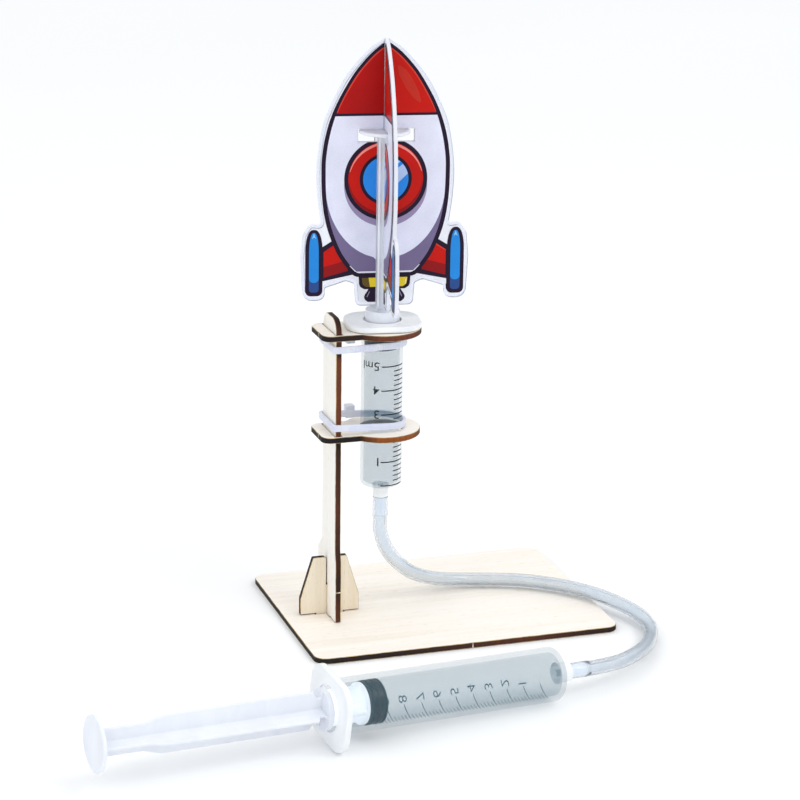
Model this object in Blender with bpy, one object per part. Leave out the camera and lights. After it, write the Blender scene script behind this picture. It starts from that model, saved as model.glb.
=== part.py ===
"""Syringe rocket launcher.

A laser-cut plywood stand holds a 5 ml syringe with its nozzle down. A toy rocket made of two
crossed boards sits on that syringe's plunger. A hose joins it to a 10 ml syringe that lies in
front of the stand: pushing the hand plunger lifts the rocket.

Frame: metres, +Z up, X along the long edge of the base, origin at the centre of the base's
underside. Each syringe is modelled along its own +Z, from the shoulder at its nozzle end (z = 0)
to its thumb disc, and then placed.
"""
import math
from dataclasses import dataclass

import bmesh
import bpy
from mathutils import Euler, Matrix, Vector

MM = 0.001

# Fits
PLY = 2.0 * MM              # plywood thickness
SLOT_GAP = 0.25 * MM        # a plywood tab in its slot, on each side
TOUCH_GAP = 0.3 * MM        # two faces that rest on each other
ROUND_STEPS = 32            # sides of a turned piece

# Stand
BASE_WIDTH = 110.0 * MM
BASE_DEPTH = 83.5 * MM
BASE_CORNER = 4.5 * MM
AXIS_X = -20.85 * MM         # lift syringe axis
AXIS_Y = -3.0 * MM
POST_X = AXIS_X - 17.75 * MM
POST_WIDTH = 15.5 * MM
POST_TOP = 110.8 * MM
POST_TOP_CORNER = 4.8 * MM
FOOT_WIDTH = 20.5 * MM      # the post is wider at its foot, towards the back
FOOT_FRONT = 1.0 * MM       # and a little towards the front
FOOT_TOP = 23.5 * MM
FOOT_TAPER = 5.0 * MM
TAB_HALF = 5.0 * MM         # half the length of a tab in the base
TAB_RECESS = 0.1 * MM       # tabs stop just short of the table
BRACE_HALF_FOOT = 10.65 * MM
BRACE_HALF_TOP = 6.1 * MM
BRACE_SIDE = 6.0 * MM
BRACE_TOP = 23.0 * MM
HALVING_HEIGHT = 13.0 * MM
PLATE_TOPS = {"lower_clamp_plate": 69.8 * MM, "upper_clamp_plate": 105.7 * MM}
PLATE_ROUND = 13.4 * MM     # radius of the end round the barrel
PLATE_HALF_WIDTH = 9.0 * MM
PLATE_REACH = 23.4 * MM     # from the barrel axis to the end past the post
PLATE_CORNER = 3.5 * MM

# Cable ties: height of the band at the post, how much lower it runs round the barrel, and
# whether its head stands up (1) or hangs down (-1)
TIES = {
    "lower_cable_tie": (73.0 * MM, 1.4 * MM, 1),
    "upper_cable_tie": (100.6 * MM, 0.0, -1),
}
TIE_WIDTH = 2.3 * MM
TIE_THICKNESS = 1.1 * MM
TIE_HEAD = Vector((3.2, 3.4, 4.4)) * MM
TIE_HEAD_X = -29.5 * MM
TIE_HEAD_SINK = 0.65 * MM   # how far the head is merged into the band's back run
TIE_HEAD_OVERLAP = 0.4 * MM # the head reaches past the band's far edge by this
TIE_HEAD_CORNER = 0.6 * MM

# Rocket boards, heights above the table
ROCKET_TURN = math.radians(-9.3)
BOARD_THICKNESS = 1.3 * MM
BOARD_OFFSET = 0.45 * MM    # the boards sit this far off the plunger's axis
BOARD_FOOT = 113.1 * MM
BOARD_TIP = 204.5 * MM
ROD_SLOT_HALF = 2.95 * MM
DISC_WINDOW_HALF = 9.5 * MM
DISC_WINDOW = (169.8 * MM, 174.1 * MM)
SLIT_HALF = BOARD_THICKNESS / 2 + 0.15 * MM
SLIT_MIDDLE = 189.4 * MM

# Hand syringe: centre of its flange, and its direction
HAND_FLANGE = Vector((-69.0, -104.1, 12.55)) * MM
HAND_YAW = math.radians(9.6)
HAND_DIP = math.radians(2.4)
HAND_ROLL = math.radians(5.0)
HAND_FLANGE_TURN = 77.0     # degrees about the hand syringe's axis

# Hose
HOSE_DIAMETER = 5.1 * MM
HOSE_POINTS = 64            # along the whole hose


@dataclass
class Syringe:
    """Sizes of one syringe, in millimetres along its axis from the shoulder."""

    outer_radius: float
    bore_radius: float
    length: float           # to the thumb side of the flange
    floor: float            # end of the bore
    flange_size: tuple      # length, width
    flange_corner: float
    flange_thickness: float
    hub_radius: float
    hub_length: float
    nozzle_length: float    # hub and nozzle together
    nozzle_radius: float
    seal_front: float
    seal_length: float
    disc_top: float
    disc_radius: float
    disc_thickness: float
    rod_stations: tuple     # (height, radius of the ribs)
    guide_disc: tuple       # height, radius, thickness
    rib_turn: float         # degrees about the axis


LIFT = Syringe(
    outer_radius=7.2, bore_radius=6.1, length=58.9, floor=1.0,
    flange_size=(26.0, 22.0), flange_corner=8.0, flange_thickness=2.1,
    hub_radius=2.6, hub_length=4.9, nozzle_length=11.6, nozzle_radius=1.95,
    seal_front=48.8, seal_length=6.0,
    disc_top=124.6, disc_radius=8.6, disc_thickness=1.3,
    rod_stations=((55.7, 5.8), (62.4, 5.8), (63.6, 2.8), (123.9, 2.8)),
    guide_disc=(57.6, 5.9, 5.0), rib_turn=45.0 - 9.3)
HAND = Syringe(
    outer_radius=8.95, bore_radius=7.1, length=82.5, floor=1.0,
    flange_size=(26.4, 23.2), flange_corner=7.0, flange_thickness=2.2,
    hub_radius=3.2, hub_length=5.4, nozzle_length=11.6, nozzle_radius=2.15,
    seal_front=64.3, seal_length=6.2,
    disc_top=160.5, disc_radius=9.0, disc_thickness=1.2,
    rod_stations=((71.4, 6.7), (84.8, 6.7), (85.6, 4.4), (87.0, 4.4), (88.4, 6.8), (138.0, 6.8),
                  (144.5, 4.9), (160.0, 4.9)),
    guide_disc=(83.2, 6.9, 1.6), rib_turn=-13.0)

LIFT_SHOULDER = 49.2 * MM

# The hose's own points between the two nozzles: down, along the base, off its edge and round
# on the table to the hand syringe.
HOSE_ROUTE = (
    (-20.7, -2.85, 31.6), (-18.3, -1.8, 24.6), (-13.4, 0.4, 17.9), (-5.7, 3.9, 11.4),
    (4.4, 7.6, 6.9), (15.0, 8.5, 5.1), (25.0, 5.9, 4.95), (34.4, 2.2, 4.95), (43.0, -3.6, 4.95),
    (50.8, -11.4, 4.95), (57.5, -21.6, 4.8), (63.0, -33.8, 3.9), (64.4, -43.6, 3.0),
    (61.2, -54.4, 3.2), (53.6, -67.4, 4.9), (44.4, -78.0, 6.7), (36.4, -84.0, 7.6))

COLOURS = {
    "plywood": ((0.90, 0.84, 0.72, 1.0), 0.7),
    "tie_nylon": ((0.86, 0.87, 0.92, 1.0), 0.45),
    "barrel_clear": ((0.78, 0.84, 0.88, 0.35), 0.15),
    "seal_rubber": ((0.02, 0.02, 0.025, 1.0), 0.5),
    "plunger_white": ((0.90, 0.91, 0.94, 1.0), 0.4),
    "rocket_board": ((0.80, 0.82, 0.95, 1.0), 0.2),
    "hose_clear": ((0.78, 0.85, 0.90, 0.5), 0.2),
}


# Helpers

def clear_scene():
    """Remove every object of the open file."""
    for item in list(bpy.data.objects):
        bpy.data.objects.remove(item, do_unlink=True)


def make_materials():
    """One Principled material for each kind of surface."""
    materials = {}
    for name, (colour, roughness) in COLOURS.items():
        material = bpy.data.materials.new(name)
        material.use_nodes = True
        shader = material.node_tree.nodes["Principled BSDF"]
        shader.inputs["Base Color"].default_value = colour
        shader.inputs["Alpha"].default_value = colour[3]
        shader.inputs["Roughness"].default_value = roughness
        shader.inputs["Metallic"].default_value = 0.0
        materials[name] = material
    return materials


def add_object(name, bm, material=None, place=None, smooth=False):
    """Turn a bmesh into an object of the scene."""
    bmesh.ops.recalc_face_normals(bm, faces=bm.faces)
    mesh = bpy.data.meshes.new(name)
    bm.to_mesh(mesh)
    bm.free()
    if smooth:
        mesh.shade_smooth()
        mesh.set_sharp_from_angle(angle=math.radians(35))
    item = bpy.data.objects.new(name, mesh)
    bpy.context.scene.collection.objects.link(item)
    if material:
        mesh.materials.append(material)
    if place is not None:
        item.matrix_world = place
    return item


def boolean(target, tool, operation):
    """Join a tool to the target, or cut it out, and leave the tool as a guide."""
    modifier = target.modifiers.new(f"{operation.lower()}_{tool.name}", "BOOLEAN")
    modifier.operation = operation
    modifier.solver = "EXACT"
    modifier.object = tool
    tool.hide_render = True
    tool.display_type = "WIRE"


def rounded(corners, steps=6):
    """Outline through (x, y, radius) corners, with an arc at each corner that has a radius."""
    outline = []
    for index, (x, y, radius) in enumerate(corners):
        corner = Vector((x, y))
        if not radius:
            outline.append((x, y))
            continue
        before = Vector(corners[index - 1][:2]) - corner
        after = Vector(corners[(index + 1) % len(corners)][:2]) - corner
        half = before.angle(after) / 2
        centre = corner + (before.normalized() + after.normalized()).normalized() * radius / math.sin(half)
        start = corner + before.normalized() * radius / math.tan(half) - centre
        end = corner + after.normalized() * radius / math.tan(half) - centre
        for step in range(steps + 1):
            blend = step / steps
            arm = start.slerp(end, blend, start)
            point = centre + arm.normalized() * radius
            outline.append((point.x, point.y))
    return outline


def arc(centre, radius, start, end, steps):
    """Points on an arc, from one angle to another in degrees."""
    angles = [math.radians(start + (end - start) * step / steps) for step in range(steps + 1)]
    return [(centre[0] + radius * math.cos(a), centre[1] + radius * math.sin(a)) for a in angles]


def smooth_curve(points, per_span):
    """A Catmull-Rom curve through the points, both ends included."""
    points = [Vector(point) for point in points]
    ends = [points[0] * 2 - points[1]] + points + [points[-1] * 2 - points[-2]]
    curve = []
    for a, b, c, d in zip(ends, ends[1:], ends[2:], ends[3:]):
        for step in range(per_span):
            t = step / per_span
            curve.append(0.5 * (2 * b + (c - a) * t + (2 * a - 5 * b + 4 * c - d) * t * t
                                + (3 * b - 3 * c + d - a) * t ** 3))
    curve.append(points[-1])
    return curve


def slab(outline, low, high, plane="XY"):
    """Extrude an outline along the axis that its plane leaves out."""
    order = {"XY": (0, 1, 2), "XZ": (0, 2, 1), "YZ": (1, 2, 0)}[plane]
    bm = bmesh.new()
    rings = []
    for level in (low, high):
        ring = []
        for a, b in outline:
            position = [0.0, 0.0, 0.0]
            position[order[0]] = a
            position[order[1]] = b
            position[order[2]] = level
            ring.append(bm.verts.new(position))
        rings.append(ring)
        bm.faces.new(ring)
    count = len(outline)
    for i in range(count):
        j = (i + 1) % count
        bm.faces.new((rings[0][i], rings[0][j], rings[1][j], rings[1][i]))
    return bm


def box_outline(x_low, x_high, y_low, y_high):
    """The four corners of a rectangle."""
    return [(x_low, y_low), (x_high, y_low), (x_high, y_high), (x_low, y_high)]


def turn_profile(bm, profile, steps=ROUND_STEPS):
    """Add a solid of revolution about Z. The profile starts and ends on the axis."""
    rings = []
    for radius, height in profile:
        if radius == 0:
            rings.append([bm.verts.new((0, 0, height))] * steps)
            continue
        angles = [2 * math.pi * step / steps for step in range(steps)]
        rings.append([bm.verts.new((radius * math.cos(a), radius * math.sin(a), height)) for a in angles])
    for lower, upper in zip(rings, rings[1:]):
        for i in range(steps):
            j = (i + 1) % steps
            corners = (lower[i], lower[j], upper[j], upper[i])
            bm.faces.new(tuple(dict.fromkeys(corners)))


def turned(profile):
    """A bmesh with one turned solid; the profile is in millimetres."""
    bm = bmesh.new()
    turn_profile(bm, [(radius * MM, height * MM) for radius, height in profile])
    return bm


# Plywood stand

def make_base(materials):
    """Base plate with rounded corners and a cross-shaped slot for the tabs."""
    x = BASE_WIDTH / 2
    y = BASE_DEPTH / 2
    corners = [(-x, -y, BASE_CORNER), (x, -y, BASE_CORNER), (x, y, BASE_CORNER), (-x, y, BASE_CORNER)]
    base = add_object("base_plate", slab(rounded(corners), 0, PLY), materials["plywood"])
    across = PLY / 2 + SLOT_GAP
    along = TAB_HALF + SLOT_GAP
    middle = brace_y()
    slots = {
        "post_tab_slot": box_outline(POST_X - across, POST_X + across, middle - along, middle + along),
        "brace_tab_slot": box_outline(POST_X - along, POST_X + along, middle - across, middle + across),
    }
    for name, outline in slots.items():
        cutter = add_object(name, slab(outline, -PLY, 2 * PLY))
        boolean(base, cutter, "DIFFERENCE")


def post_front():
    """Y of the post's front edge, so that the barrel lies on the post's middle."""
    return AXIS_Y - POST_WIDTH / 2


def brace_y():
    """Y of the foot brace: the middle of the post's foot."""
    return post_front() + FOOT_WIDTH / 2


def make_post(materials):
    """Upright board, with a wide foot, two tabs, and a slot from below for the brace."""
    front = post_front()
    back = front + POST_WIDTH
    foot_front = front - FOOT_FRONT
    foot_back = front + FOOT_WIDTH
    middle = brace_y()
    slot = PLY / 2 + SLOT_GAP
    seat = PLY + TOUCH_GAP
    outline = rounded([
        (foot_front, seat, 0), (middle - TAB_HALF, seat, 0), (middle - TAB_HALF, TAB_RECESS, 0),
        (middle - slot, TAB_RECESS, 0), (middle - slot, HALVING_HEIGHT + SLOT_GAP, 0),
        (middle + slot, HALVING_HEIGHT + SLOT_GAP, 0), (middle + slot, TAB_RECESS, 0),
        (middle + TAB_HALF, TAB_RECESS, 0), (middle + TAB_HALF, seat, 0), (foot_back, seat, 0),
        (foot_back, FOOT_TOP, FOOT_TAPER / 3), (back, FOOT_TOP + FOOT_TAPER, FOOT_TAPER / 3),
        (back, POST_TOP, POST_TOP_CORNER), (front, POST_TOP, POST_TOP_CORNER),
        (front, FOOT_TOP + FOOT_TAPER, 0), (foot_front, FOOT_TOP, 0)])
    add_object("post", slab(outline, POST_X - PLY / 2, POST_X + PLY / 2, "YZ"), materials["plywood"])


def make_brace(materials):
    """Trapezoid across the post's foot, with one long tab and a slot from above."""
    seat = PLY + TOUCH_GAP
    slot = PLY / 2 + SLOT_GAP
    bottom = HALVING_HEIGHT - SLOT_GAP
    half = [
        (TAB_HALF, TAB_RECESS), (TAB_HALF, seat), (BRACE_HALF_FOOT, seat),
        (BRACE_HALF_FOOT, seat + BRACE_SIDE), (BRACE_HALF_TOP, BRACE_TOP), (slot, BRACE_TOP), (slot, bottom)]
    outline = [(POST_X + x, z) for x, z in half] + [(POST_X - x, z) for x, z in reversed(half)]
    middle = brace_y()
    add_object("foot_brace", slab(outline, middle - PLY / 2, middle + PLY / 2, "XZ"), materials["plywood"])


def make_clamp_plate(name, top, materials):
    """Keyhole-shaped plate: a round end round the barrel and a square end round the post."""
    meet = math.degrees(math.asin(PLATE_HALF_WIDTH / PLATE_ROUND))
    end = AXIS_X - PLATE_REACH
    round_end = arc((AXIS_X, AXIS_Y), PLATE_ROUND, -180 + meet, 180 - meet, 40)
    high = AXIS_Y + PLATE_HALF_WIDTH
    low = AXIS_Y - PLATE_HALF_WIDTH
    corner_high = arc((end + PLATE_CORNER, high - PLATE_CORNER), PLATE_CORNER, 90, 180, 6)
    corner_low = arc((end + PLATE_CORNER, low + PLATE_CORNER), PLATE_CORNER, 180, 270, 6)
    bm = slab(round_end + corner_high + corner_low, top - PLY, top)
    plate = add_object(name, bm, materials["plywood"])
    hole = arc((AXIS_X, AXIS_Y), LIFT.outer_radius * MM + TOUCH_GAP, 0, 360, 40)[:-1]
    across = PLY / 2 + SLOT_GAP
    slot = box_outline(POST_X - across, POST_X + across, post_front() - SLOT_GAP,
                       post_front() + POST_WIDTH + SLOT_GAP)
    for part, outline in (("barrel_hole", hole), ("post_slot", slot)):
        cutter = add_object(f"{name}_{part}", slab(outline, top - 2 * PLY, top + PLY))
        boolean(plate, cutter, "DIFFERENCE")


# Cable ties

def tie_outline(offset):
    """Outline of a band drawn tight round the post and the barrel, at an offset from both."""
    half = POST_WIDTH / 2
    supports = [(POST_X + x, AXIS_Y + y, 0.0) for x in (-PLY / 2, PLY / 2) for y in (-half, half)]
    supports.append((AXIS_X, AXIS_Y, LIFT.outer_radius * MM))
    outline = []
    steps = 72
    for step in range(steps):
        angle = 2 * math.pi * (step + 0.5) / steps
        away = Vector((math.cos(angle), math.sin(angle)))
        x, y, radius = max(supports, key=lambda s: Vector(s[:2]).dot(away) + s[2])
        point = Vector((x, y)) + away * (radius + offset)
        outline.append((point.x, point.y))
    return outline


def make_tie(name, height, drop, head_side, materials):
    """Band round the post and the barrel, with its square locking head at the back."""
    reach = AXIS_X + LIFT.outer_radius * MM - POST_X

    def middle(x):
        return height - drop * (x - POST_X) / reach

    inner = tie_outline(TOUCH_GAP)
    outer = tie_outline(TOUCH_GAP + TIE_THICKNESS)
    bm = bmesh.new()
    loops = []
    for outline in (inner, outer):
        for level in (-TIE_WIDTH / 2, TIE_WIDTH / 2):
            loops.append([bm.verts.new((x, y, middle(x) + level)) for x, y in outline])
    inner_low, inner_high, outer_low, outer_high = loops
    ring = (inner_low, inner_high, outer_high, outer_low)
    for a, b in zip(ring, ring[1:] + ring[:1]):
        for i in range(len(a)):
            j = (i + 1) % len(a)
            bm.faces.new((a[i], a[j], b[j], b[i]))
    tie = add_object(name, bm, materials["tie_nylon"])
    back = AXIS_Y + LIFT.outer_radius * MM + TOUCH_GAP + TIE_THICKNESS - TIE_HEAD_SINK
    left = TIE_HEAD_X - TIE_HEAD.x / 2
    right = TIE_HEAD_X + TIE_HEAD.x / 2
    head_outline = rounded([
        (left, back, 0), (right, back, 0), (right, back + TIE_HEAD.y, TIE_HEAD_CORNER),
        (left, back + TIE_HEAD.y, TIE_HEAD_CORNER)], 3)
    near = middle(TIE_HEAD_X) - head_side * (TIE_WIDTH / 2 + TIE_HEAD_OVERLAP)
    far = near + head_side * TIE_HEAD.z
    head = add_object(f"{name}_head", slab(head_outline, near, far))
    boolean(tie, head, "UNION")


# Syringes

def lift_place():
    """Placing of the lift syringe: upright, nozzle down."""
    return Matrix.Translation((AXIS_X, AXIS_Y, LIFT_SHOULDER))


def hand_place():
    """Placing of the hand syringe: lying down, with its nozzle end towards the hose."""
    turn = Euler((0, math.radians(-90) + HAND_DIP, 0)).to_matrix()
    yaw = Matrix.Rotation(HAND_YAW, 3, "Z")
    roll = Matrix.Rotation(HAND_ROLL, 3, "Z")
    rotation = yaw @ turn @ roll
    middle = (HAND.length - HAND.flange_thickness / 2) * MM
    shoulder = HAND_FLANGE - rotation @ Vector((0, 0, middle))
    return Matrix.Translation(shoulder) @ rotation.to_4x4()


def make_barrel(name, syringe, place, flange_turn, material):
    """Barrel with finger flange, hub and nozzle, hollow from end to end."""
    s = syringe
    outer = turned([
        (0, -s.nozzle_length), (s.nozzle_radius - 0.15, -s.nozzle_length), (s.nozzle_radius, -s.hub_length),
        (s.hub_radius, -s.hub_length + 0.3), (s.hub_radius + 0.15, -0.9), (s.outer_radius - 1.4, -0.3),
        (s.outer_radius - 0.4, 0.2), (s.outer_radius, 1.2),
        (s.outer_radius, s.length - s.flange_thickness / 2), (0, s.length - s.flange_thickness / 2)])
    barrel = add_object(name, outer, material, place, smooth=True)
    x = s.flange_size[0] / 2 * MM
    y = s.flange_size[1] / 2 * MM
    radius = s.flange_corner * MM
    corners = [(-x, -y, radius), (x, -y, radius), (x, y, radius), (-x, y, radius)]
    bm = slab(rounded(corners, 8), (s.length - s.flange_thickness) * MM, s.length * MM)
    turn = Matrix.Rotation(math.radians(flange_turn), 4, "Z")
    flange = add_object(f"{name}_flange", bm, None, place @ turn)
    boolean(barrel, flange, "UNION")
    channel = s.nozzle_radius - 1.0
    bore = turned([
        (0, -s.nozzle_length - 1), (channel, -s.nozzle_length - 1), (channel, s.floor - 1.2),
        (s.bore_radius, s.floor), (s.bore_radius, s.length + 1), (0, s.length + 1)])
    cutter = add_object(f"{name}_bore", bore, None, place)
    boolean(barrel, cutter, "DIFFERENCE")


def make_seal(name, syringe, place, material):
    """Rubber piston with two sealing rings and a socket for the plunger's button."""
    s = syringe
    wall = s.bore_radius - 0.05
    groove = s.bore_radius - 0.55
    back = s.seal_front + s.seal_length
    rim = s.seal_front + 0.6
    profile = [
        (0, rim - 1.1), (wall - 1.2, rim - 0.6), (wall - 0.2, rim - 0.3), (wall, rim), (wall, rim + 0.9),
        (groove, rim + 1.5), (groove, back - 2.1), (wall, back - 1.5), (wall, back - 0.3),
        (wall - 0.3, back), (1.8, back), (1.8, back - 2.6), (0, back - 2.6)]
    add_object(name, turned(profile), material, place, smooth=True)


def ribbed_rod(stations, thickness):
    """Cross-shaped rod whose ribs follow the radii at the stations."""
    bm = bmesh.new()
    half = thickness / 2
    rings = []
    for height, radius in stations:
        quarter = [(radius, -half), (radius, half), (half, half)]
        ring = []
        for turn in range(4):
            rotation = Matrix.Rotation(turn * math.pi / 2, 2)
            for x, y in quarter:
                point = rotation @ Vector((x, y))
                ring.append(bm.verts.new((point.x * MM, point.y * MM, height * MM)))
        rings.append(ring)
    for ring in (rings[0], rings[-1]):
        bm.faces.new(ring)
    for lower, upper in zip(rings, rings[1:]):
        for i in range(len(lower)):
            j = (i + 1) % len(lower)
            bm.faces.new((lower[i], lower[j], upper[j], upper[i]))
    return bm


def make_plunger(name, syringe, place, material):
    """Ribbed plunger with a thumb disc, a guide disc, and a button that holds the seal."""
    s = syringe
    turn = Matrix.Rotation(math.radians(s.rib_turn), 4, "Z")
    plunger = add_object(name, ribbed_rod(s.rod_stations, 1.1), material, place @ turn)
    head = s.seal_front + s.seal_length + 0.3
    head_radius = s.bore_radius - 0.35
    guide, guide_radius, guide_thickness = s.guide_disc
    thumb = s.disc_top - s.disc_thickness
    profiles = [
        [(0, thumb), (s.disc_radius - 0.4, thumb), (s.disc_radius, thumb + 0.4),
         (s.disc_radius, s.disc_top - 0.4), (s.disc_radius - 0.4, s.disc_top), (0, s.disc_top)],
        [(0, guide), (guide_radius, guide), (guide_radius, guide + guide_thickness),
         (0, guide + guide_thickness)],
        [(0, head - 2.6), (1.5, head - 2.6), (1.5, head), (head_radius, head), (head_radius, head + 1.3),
         (0, head + 1.3)]]
    bm = bmesh.new()
    for profile in profiles:
        turn_profile(bm, [(radius * MM, height * MM) for radius, height in profile])
    discs = add_object(f"{name}_discs", bm, None, place @ turn, smooth=True)
    boolean(plunger, discs, "UNION")


# Rocket

def board_side():
    """Right edge of a rocket board, from its foot to its tip: nozzle, fin, pod and body."""
    low = [
        (9.9, 113.1, 2.0), (10.4, 120.9, 1.0), (13.2, 121.9, 1.0), (20.4, 119.6, 0.8), (20.4, 115.2, 2.6),
        (28.0, 115.2, 3.4), (28.8, 130.0, 8.0), (28.0, 138.0, 3.0), (25.6, 141.9, 2.0), (22.2, 141.4, 0.8),
        (21.9, 142.4, 0)]
    corners = [(x * MM, z * MM, radius * MM) for x, z, radius in low]
    lower = rounded([(ROD_SLOT_HALF, BOARD_FOOT, 0)] + corners, 4)
    body = [
        (21.9, 142.4), (23.1, 152.0), (23.3, 161.0), (22.2, 170.5), (20.1, 178.8),
        (14.1, 191.0), (6.6, 200.2), (1.2, 204.1)]
    upper = [(x * MM, z * MM) for x, z in smooth_curve(body, 3)]
    return lower + upper[1:]


def mirrored(points):
    """The same points on the left side, in the opposite order."""
    return [(-x, z) for x, z in reversed(points)]


def make_board(name, turn, slit_from_tip, material):
    """One printed board; the two boards cross at slits that each run through half of the nose.

    The outline goes up the right edge, over the tip, down the left edge, and then in through the
    slot for the plunger rod and round the window for its disc.
    """
    side = board_side()
    window_low, window_high = DISC_WINDOW
    window_left = [(-ROD_SLOT_HALF, window_low), (-DISC_WINDOW_HALF, window_low), (-DISC_WINDOW_HALF, window_high)]
    if slit_from_tip:
        tip_right = [(SLIT_HALF, BOARD_TIP - 0.2 * MM), (SLIT_HALF, SLIT_MIDDLE - SLOT_GAP)]
        tip = tip_right + mirrored(tip_right)
        window_slit = []
    else:
        tip = [(0.0, BOARD_TIP)]
        slit_left = [(-SLIT_HALF, window_high), (-SLIT_HALF, SLIT_MIDDLE + SLOT_GAP)]
        window_slit = slit_left + mirrored(slit_left)
    outline = side + tip + mirrored(side) + window_left + window_slit + mirrored(window_left)
    half = BOARD_THICKNESS / 2
    middle = Vector((AXIS_X, AXIS_Y, 0)) + Matrix.Rotation(ROCKET_TURN, 3, "Z") @ Vector((BOARD_OFFSET, 0, 0))
    place = Matrix.Translation(middle) @ Matrix.Rotation(ROCKET_TURN + turn, 4, "Z")
    add_object(name, slab(outline, -half, half, "XZ"), material, place)


# Hose

def hose_route():
    """Points of the hose, from the lift nozzle to the hand nozzle."""
    start = lift_place() @ Vector((0, 0, -LIFT.nozzle_length * MM - TOUCH_GAP))
    place = hand_place()
    end = place @ Vector((0, 0, -HAND.nozzle_length * MM - TOUCH_GAP))
    before_end = place @ Vector((0, 0, -HAND.nozzle_length * MM - HOSE_DIAMETER))
    return [start] + [Vector(point) * MM for point in HOSE_ROUTE] + [before_end, end]


def make_hose(material):
    """Tube on one smooth curve, with a point every two or three diameters."""
    fine = smooth_curve(hose_route(), 12)
    spacing = sum((b - a).length for a, b in zip(fine, fine[1:])) / (HOSE_POINTS - 1)
    points = [fine[0]]
    travelled = 0.0
    for a, b in zip(fine, fine[1:]):
        travelled += (b - a).length
        if travelled >= spacing * len(points) and len(points) < HOSE_POINTS - 1:
            points.append(b)
    points.append(fine[-1])
    curve = bpy.data.curves.new("hose", "CURVE")
    curve.dimensions = "3D"
    curve.bevel_depth = HOSE_DIAMETER / 2
    curve.bevel_resolution = 2
    curve.use_fill_caps = True
    spline = curve.splines.new("POLY")
    spline.points.add(len(points) - 1)
    for point, place in zip(spline.points, points):
        point.co = (*place, 1.0)
    curve.materials.append(material)
    hose = bpy.data.objects.new("hose", curve)
    bpy.context.scene.collection.objects.link(hose)


def main():
    clear_scene()
    materials = make_materials()
    make_base(materials)
    make_post(materials)
    make_brace(materials)
    for name, top in PLATE_TOPS.items():
        make_clamp_plate(name, top, materials)
    for name, (height, drop, head_side) in TIES.items():
        make_tie(name, height, drop, head_side, materials)
    for name, syringe, place, flange_turn in (
            ("lift", LIFT, lift_place(), math.degrees(ROCKET_TURN)), ("hand", HAND, hand_place(), HAND_FLANGE_TURN)):
        make_barrel(f"{name}_barrel", syringe, place, flange_turn, materials["barrel_clear"])
        make_seal(f"{name}_piston_seal", syringe, place, materials["seal_rubber"])
        make_plunger(f"{name}_plunger", syringe, place, materials["plunger_white"])
    make_board("rocket_front_board", 0.0, True, materials["rocket_board"])
    make_board("rocket_cross_board", math.pi / 2, False, materials["rocket_board"])
    make_hose(materials["hose_clear"])


main()
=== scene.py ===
"""Looks for the syringe rocket launcher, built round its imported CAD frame.

Every visible piece is modelled here in more detail than its CAD node and rides on the same body:
laser-cut plywood with burnt edges, clear syringes with their printed scales, a hollow hose,
nylon ties, and two clear boards that carry a printed toy rocket on both faces.
"""
import math
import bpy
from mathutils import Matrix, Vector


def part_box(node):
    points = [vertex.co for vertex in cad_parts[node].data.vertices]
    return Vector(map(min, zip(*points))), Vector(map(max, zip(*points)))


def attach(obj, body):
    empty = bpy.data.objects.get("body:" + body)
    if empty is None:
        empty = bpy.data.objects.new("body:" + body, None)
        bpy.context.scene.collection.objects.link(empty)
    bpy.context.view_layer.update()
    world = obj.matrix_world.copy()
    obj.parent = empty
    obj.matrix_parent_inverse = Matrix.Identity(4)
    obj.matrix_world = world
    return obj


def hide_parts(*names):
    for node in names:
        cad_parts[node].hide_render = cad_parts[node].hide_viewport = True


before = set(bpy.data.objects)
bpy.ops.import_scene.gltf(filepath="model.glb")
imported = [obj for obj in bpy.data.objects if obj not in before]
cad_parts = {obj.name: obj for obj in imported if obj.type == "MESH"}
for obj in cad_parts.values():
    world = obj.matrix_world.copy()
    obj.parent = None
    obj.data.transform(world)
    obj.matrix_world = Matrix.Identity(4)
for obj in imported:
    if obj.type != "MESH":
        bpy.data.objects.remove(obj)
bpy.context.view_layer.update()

from types import SimpleNamespace

import bmesh
import bpy
from mathutils import Euler, Matrix, Vector
from mathutils.geometry import tessellate_polygon

MM = 0.001

# Camera
CAMERA_AZIMUTH = math.radians(-18.32)
CAMERA_ELEVATION = math.radians(17.08)
CAMERA_ROLL = math.radians(0.81)
CAMERA_DISTANCE = 0.92724
CAMERA_AIM = Vector((-0.01314, 0.0, 0.07762))
CAMERA_LENS = 120.4
SENSOR_WIDTH = 36.0

# Lift axis, from the seal that runs in the upright barrel
SEAL_LOW, SEAL_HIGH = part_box("lift_piston_seal")
AXIS_X = (SEAL_LOW.x + SEAL_HIGH.x) / 2
AXIS_Y = (SEAL_LOW.y + SEAL_HIGH.y) / 2

# Stand, in metres
PLY = 2.0 * MM
TOUCH_GAP = 0.3 * MM
SLOT_GAP = 0.25 * MM
BASE_CORNER = 4.5 * MM
POST_X = AXIS_X - 17.75 * MM
POST_WIDTH = 15.5 * MM
POST_FRONT = AXIS_Y - POST_WIDTH / 2
POST_TOP = 110.8 * MM
POST_TOP_CORNER = 4.8 * MM
FOOT_WIDTH = 20.5 * MM
FOOT_FRONT = 1.0 * MM
FOOT_TOP = 23.5 * MM
FOOT_TAPER = 5.0 * MM
TAB_HALF = 5.0 * MM
TAB_RECESS = 0.1 * MM
BRACE_Y = POST_FRONT + FOOT_WIDTH / 2
BRACE_HALF_FOOT = 10.65 * MM
BRACE_HALF_TOP = 6.1 * MM
BRACE_SIDE = 6.0 * MM
BRACE_TOP = 23.0 * MM
HALVING_HEIGHT = 13.0 * MM
PLATE_ROUND = 13.4 * MM
PLATE_HALF_WIDTH = 9.0 * MM
PLATE_REACH = 23.4 * MM
PLATE_CORNER = 3.5 * MM
RIM = 0.16 * MM             # softened, lightly scorched edge of a laser cut

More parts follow.
